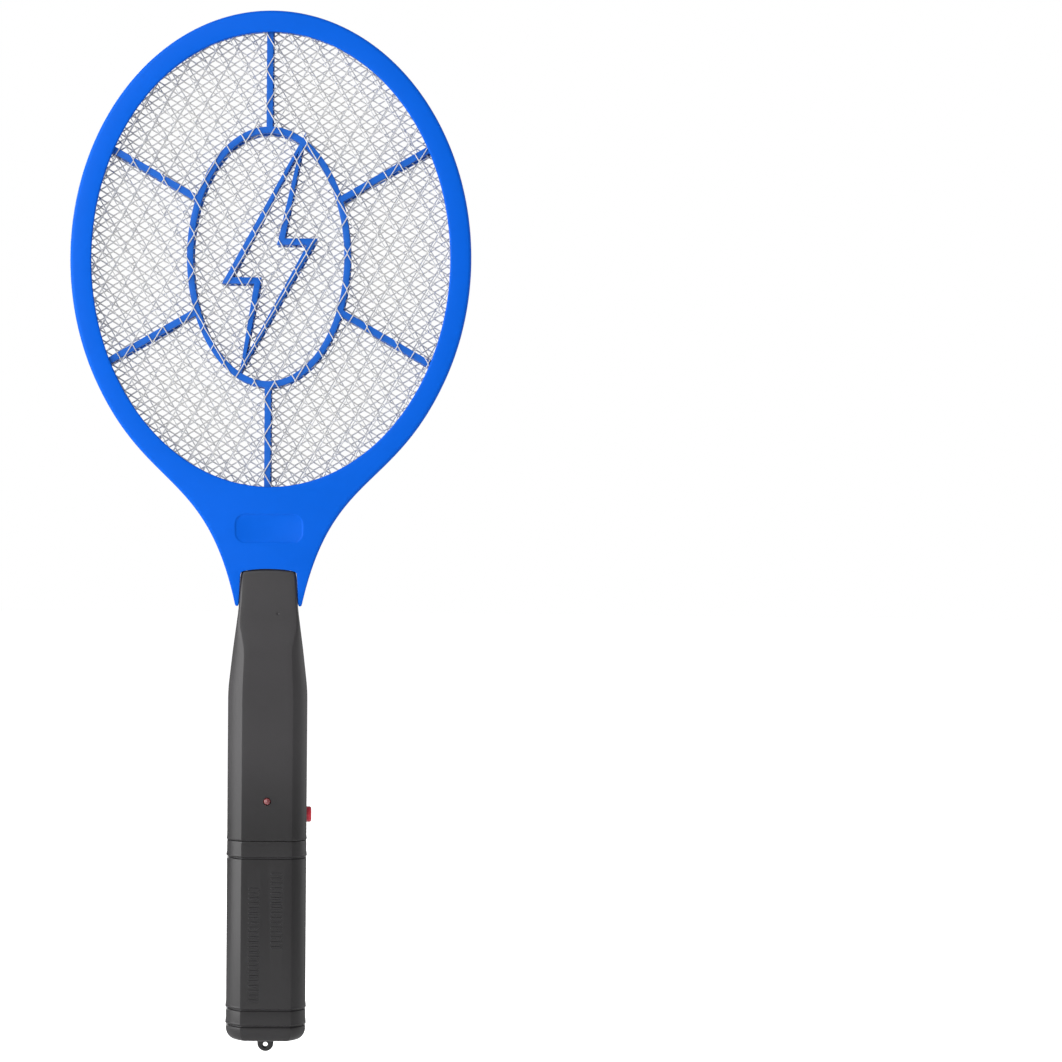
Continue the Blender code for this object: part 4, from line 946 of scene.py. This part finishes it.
outside = []
for z, groove, rounding in cover_rows():
    depth = min(grip_half_depth - groove * 0.9 - rounding * 0.4, grip_half_depth)
    outside.append((z, (grip_half_width - groove - rounding, depth, grip_bevel - (groove + rounding) * 0.6,
                        0.0010)))
cover = octagon_tube("battery_sleeve", outside)
inside = [(z, shrunk(grip_section, wall + inset)) for z, inset in (
    (cover_low.z + cover_floor, 0.0030), (cover_low.z + cover_floor + 0.0012, 0.0009),
    (cover_low.z + cover_floor + 0.0030, 0.0), (cover_high.z - 0.0006, 0.0), (cover_high.z + 0.001, -0.001))]
cut(cover, octagon_tube("battery_sleeve_hollow", inside))
cut(cover, block("battery_sleeve_slot", 0.0023, (-0.0018, 0.0018),
                 (cover_low.z - 0.002, cover_low.z + cover_floor + 0.002)))


def low_rib(bm, centre, half_width, half_height, rise):
    """A rib with sloping sides on the cover's front, added to a mesh."""
    foot = rounded_box(centre, half_width, half_height, half_height * 0.98, 4)
    crest = rounded_box(centre, half_width * 0.96, half_height * 0.6, half_height * 0.59, 4)
    stack(bm, [lay_loop(bm, ring, -grip_half_depth - out)
               for ring, out in ((foot, -0.0003), (foot, rise * 0.3), (crest, rise))], lids=True)


bm = bmesh.new()
for x, top, bottom, half_width in ((-0.0056, -0.0092, -0.0590, 0.0024), (0.0045, -0.0024, -0.0352, 0.0026)):
    count = int((top - bottom) / 0.0021)
    for number in range(count + 1):
        low_rib(bm, (x, top - (top - bottom) * number / count), half_width, 0.00055, 0.00045)
cut(cover, finished("battery_sleeve_ribs", bm), 'UNION')
smoothed(cover.data, 30)
# The sleeve's black is darker than the handle's: painted shade that carries the handle's darkening on down
# the cover.
shaded_sleeve_abs = plastic("sleeve_black_abs", (0.013, 0.012, 0.013), (0.08, 0.08, 0.085), 0.30, tone=0.10,
                     wear=0.5, grain_scale=3200.0, depth=0.00003, specular_ior_level=0.50)
give(cover, "cover", ["battery_cover"], "black_plastic", shaded_sleeve_abs)


# Hanging loop: a small glossy black eyelet pressed up through the cover's bottom, to hang the swatter by.
loop_low, loop_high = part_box("hanging_loop")
loop_half = loop_high.x
loop_centre = loop_low.z + loop_half
loop_hole_z = -0.0807
loop_hole = 0.0011              # its radius
loop_thick = loop_high.y
outline = arc_points((0, loop_centre), (loop_half, loop_half), 180, 360, 33)
outline += [(loop_half, cover_low.z - 0.0004), (loop_half - 0.0004, cover_low.z - 0.0002),
            (0.0020, cover_low.z - 0.0002), (0.0020, cover_low.z + cover_floor),
            (-0.0020, cover_low.z + cover_floor), (-0.0020, cover_low.z - 0.0002),
            (-loop_half + 0.0004, cover_low.z - 0.0002), (-loop_half, cover_low.z - 0.0004)]
bm = bmesh.new()
rows = []
steps = round_over(0.0009, 5)
for front, order in ((1, reversed(steps)), (-1, steps)):
    for inward, back in order:
        inset = [inward if z < cover_low.z else 0.0 for x, z in outline]
        rows.append(lay_loop(bm, shifted(outline, inset), front * (loop_thick - back)))
stack(bm, rows)
for side_row, side in ((rows[0], 1), (rows[-1], -1)):
    hole = [(loop_hole + back, side * (loop_thick - inward)) for inward, back in round_over(0.0006, 4)]
    hole_rows = [lay_loop(bm, ring_points((0, loop_hole_z), (radius, radius), 28), y)
                 for radius, y in hole + [(loop_hole, 0.0)]]
    stack(bm, hole_rows)
    fill_loops(bm, [side_row, hole_rows[0]])
loop_gloss = plastic("loop_gloss_black", (0.008, 0.008, 0.009), (0.06, 0.06, 0.06), 0.20, tone=0.08, wear=0.3,
                     depth=0.000006, edge=0.0003)
give(finished("hanging_eyelet", bm, 35.0), "cover", ["hanging_loop"], "loop_plastic", loop_gloss)


# Push button and its switch: a round red cap, held in by a flange behind the shell's side wall, presses the
# plunger of a small moulded switch on the board.
button_face = button_high.x
button_radius = 0.0035
stations = [(button_low.x, 0.0), (button_low.x, button_radius + 0.0008),
            (button_low.x + 0.0002, button_radius + 0.0010), (button_low.x + 0.0010, button_radius + 0.0010),
            (button_low.x + 0.0010, button_radius)]
stations += [(button_face - back, button_radius - inward) for inward, back in round_over(0.0009, 6)]
stations += [(button_face - 0.00006, 0.0014), (button_face - 0.00016, 0.0007), (button_face - 0.0002, 0.0)]
red_cap = plastic("button_red", (0.62, 0.018, 0.045), (0.75, 0.10, 0.12), 0.32, tone=0.05, wear=0.4,
                  depth=0.00001, edge=0.0004)
give(lathe("trigger_button", stations, (0, 0, button_z), 'X', 56), "button", ["push_button"],
     "button_plastic", red_cap)
def finish_nodes(names, finish):
    """Gives CAD nodes that stay as they are a finish in place of their plain one."""
    for node in names:
        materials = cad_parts[node].data.materials
        materials.clear()
        materials.append(finish)


epoxy = plastic("moulded_epoxy", (0.018, 0.018, 0.018), (0.09, 0.09, 0.09), 0.50, wear=0.3, depth=0.00002)
finish_nodes(["switch_plunger", "switch_body", "power_transistor", "rectifier_diode_1", "rectifier_diode_2",
              "rectifier_diode_3"], epoxy)


# Indicator: a 3 mm red lamp with a domed clear lens and a flange, pushed out through the shell's front.
led_face = led_low.y
stations = [(led_high.y, 0.0), (led_high.y, 0.0019), (led_high.y - 0.0009, 0.0019),
            (led_high.y - 0.0009, 0.0015)]
for step in range(8):
    turn = math.radians(90 * step / 7)
    stations.append((led_face + 0.0013 * (1 - math.sin(turn)), 0.0015 * math.cos(turn) if step < 7 else 0.0))
lens_red, lens_tree, lens_shader = painted("led_red_lens", 0.08, coat_weight=0.6, transmission_weight=0.35)
deep = noise(lens_tree, 700.0, texture_space(lens_tree))
feed(lens_tree, lens_shader, {
    "Base Color": blended(lens_tree, deep, (0.22, 0.020, 0.024), (0.42, 0.130, 0.140)),
    "Roughness": calc(lens_tree, 'MULTIPLY', deep, 0.16)})
give(lathe("indicator_lens", stations, (0, 0, led_z), 'Y', 40), "swatter", ["indicator_led"], "led_red",
     lens_red)


# Circuit: a green fibreglass board stands behind the lamp. It carries the transformer that steps the battery
# voltage up, the diodes and capacitor that store it for the meshes, and a bleed resistor chain.
def mottled(names, kind, dark, light, roughness, scale, depth, stretch=(1, 1, 1)):
    """Finishes small parts: two tones of one colour mottled together, and a rough surface."""
    made, tree, shader = painted(kind, roughness)
    mottle = noise(tree, scale, texture_space(tree, stretch), detail=5.0)
    feed(tree, shader, {"Base Color": blended(tree, mottle, dark, light),
                        "Roughness": calc(tree, 'ADD', calc(tree, 'MULTIPLY', mottle, 0.2), roughness - 0.1),
                        "Normal": bumped(tree, mottle, depth)})
    finish_nodes(names, made)


board_green, board_tree, board_shader = painted("board_green", 0.38)
upright = add(board_tree, 'Mapping', {"Vector": texture_space(board_tree),
                                      "Rotation": (math.radians(90), 0, 0)}).outputs["Vector"]
tracks = add(board_tree, 'TexBrick', {"Vector": upright, "Scale": 90.0, "Mortar Size": 0.035,
                                      "Color1": (0.012, 0.115, 0.035, 1), "Color2": (0.016, 0.140, 0.045, 1),
                                      "Mortar": (0.05, 0.25, 0.07, 1)}).outputs
feed(board_tree, board_shader, {
    "Base Color": tracks["Color"],
    "Roughness": calc(board_tree, 'ADD', calc(board_tree, 'MULTIPLY', tracks["Fac"], 0.12), 0.32)})
finish_nodes(["circuit_board"], board_green)
mottled(["transformer_core"], "ferrite_grey", (0.035, 0.035, 0.038), (0.06, 0.06, 0.062), 0.6, 1500.0,
        0.00003)
mottled(["transformer_winding"], "winding_tape", (0.55, 0.30, 0.03), (0.75, 0.48, 0.08), 0.4, 500.0, 0.00002,
        stretch=(0.2, 1, 4))
mottled(["storage_capacitor"], "film_capacitor_red", (0.33, 0.06, 0.03), (0.48, 0.11, 0.05), 0.3, 260.0,
        0.00004)
mottled(["filter_capacitor"], "capacitor_sleeve_blue", (0.015, 0.03, 0.15), (0.03, 0.06, 0.22), 0.32, 400.0,
        0.00001)
mottled(["resistor_1", "resistor_2", "resistor_3"], "resistor_tan", (0.42, 0.28, 0.14), (0.60, 0.43, 0.25),
        0.45, 500.0, 0.00002)
tinned = metal("contact_nickel_steel", (0.66, 0.65, 0.62), (0.50, 0.49, 0.47), 0.30, 1200.0)
finish_nodes(["led_leg_1", "led_leg_2"], tinned)


# Battery bay: a black tray screwed under the board holds two small cells side by side, with nickel-plated
# contacts and conical springs. It is seen when the cover is off.
tray_black = plastic("tray_black", (0.026, 0.026, 0.028), (0.12, 0.12, 0.12), 0.48, tone=0.1, wear=0.4)
finish_nodes(["battery_tray"], tray_black)
finish_nodes(["positive_contact", "negative_contact", "bridge_contact"], tinned)
# A printed jacket goes round each can, and the can's ends are bare steel.
jacket, jacket_tree, jacket_shader = painted("cell_jacket", 0.3)
where = add(jacket_tree, 'TexCoord').outputs
up_the_can = add(jacket_tree, 'SeparateXYZ', {"Vector": where["Generated"]}).outputs["Z"]
bands = add(jacket_tree, 'ValToRGB', {"Fac": up_the_can})
bands.color_ramp.interpolation = 'CONSTANT'
can_steel = (0.55, 0.54, 0.52, 1)
stops = [(0.0, can_steel), (0.035, (0.012, 0.050, 0.030, 1)), (0.70, (0.62, 0.50, 0.12, 1)),
         (0.94, can_steel)]
for number, (position, colour) in enumerate(stops):
    elements = bands.color_ramp.elements
    stop = elements[number] if number < 2 else elements.new(position)
    stop.position, stop.color = position, colour
scuff = noise(jacket_tree, 300.0, where["Object"])
steel = add(jacket_tree, 'MapRange', {"Value": up_the_can, "From Min": 0.93, "From Max": 0.945})
feed(jacket_tree, jacket_shader, {
    "Base Color": blended(jacket_tree, calc(jacket_tree, 'MULTIPLY', scuff, 0.16), bands.outputs["Color"],
                          (0.5, 0.5, 0.5)),
    "Roughness": calc(jacket_tree, 'ADD', calc(jacket_tree, 'MULTIPLY', scuff, 0.2), 0.2),
    "Metallic": steel.outputs["Result"]})
for name, node, up in (("small_cell_left", "battery_cell_left", True),
                       ("small_cell_right", "battery_cell_right", False)):
    low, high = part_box(node)
    middle = (low + high) / 2
    radius = (high.x - low.x) / 2
    length = high.z - low.z
    stations = [(0.0, 0.0), (0.0, radius - 0.0010), (0.0002, radius - 0.0003), (0.0007, radius),
                (length - 0.0024, radius), (length - 0.0017, radius - 0.00025),
                (length - 0.0012, radius - 0.0010), (length - 0.0011, 0.0030), (length - 0.0009, 0.0026),
                (length - 0.0002, 0.0026), (length, 0.0023), (length, 0.0)]
    cell = lathe(name, stations, (0, 0, 0), 'Z', 56)
    cell.rotation_euler = (0 if up else math.pi, 0, 0)
    cell.location = (middle.x, middle.y, low.z if up else high.z)
    give(cell, "swatter", [node], "cell_jacket", jacket)


def round_wire(name, points, radius):
    """A wire of round section along a line of points."""
    curve = bpy.data.curves.new(name, 'CURVE')
    curve.dimensions = '3D'
    curve.bevel_depth = radius
    curve.bevel_resolution = 5
    curve.use_fill_caps = True
    spline = curve.splines.new('POLY')
    spline.points.add(len(points) - 1)
    for spot, point in zip(spline.points, points):
        spot.co = (*point, 1.0)
    strand = placed(name, curve)
    mesh = evaluated(strand)
    bpy.data.objects.remove(strand, do_unlink=True)
    merge_close(mesh)
    mesh.shade_smooth()
    return placed(name, mesh)


for node, wide_low in (("battery_spring_left", True), ("battery_spring_right", False)):
    low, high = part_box(node)
    wire = 0.00030
    centre_x = (low.x + high.x) / 2
    points = []
    for i in range(121):
        share = i / 120
        angle = 2 * math.pi * 3.0 * share
        radius = 0.0042 - 0.0016 * share
        z = low.z + wire + (high.z - low.z - 2 * wire) * (share if wide_low else 1 - share)
        points.append((centre_x + radius * math.cos(angle), radius * math.sin(angle), z))
    spring = round_wire(node.replace("battery", "cell"), points, wire)
    give(spring, "swatter", [node], "contact_steel", tinned)


# Leads: thin stranded wires in soft sleeves, red and black. Two run from the tray to the board, and three
# from the board up through the neck, one to each mesh.
mottled(["battery_lead_red", "mesh_lead_centre"], "wire_red", (0.40, 0.012, 0.012), (0.55, 0.03, 0.03), 0.42,
        900.0, 0.00001)
mottled(["battery_lead_black", "mesh_lead_front", "mesh_lead_rear"], "wire_black", (0.014, 0.014, 0.014),
        (0.03, 0.03, 0.03), 0.42, 900.0, 0.00001)

low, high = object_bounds()
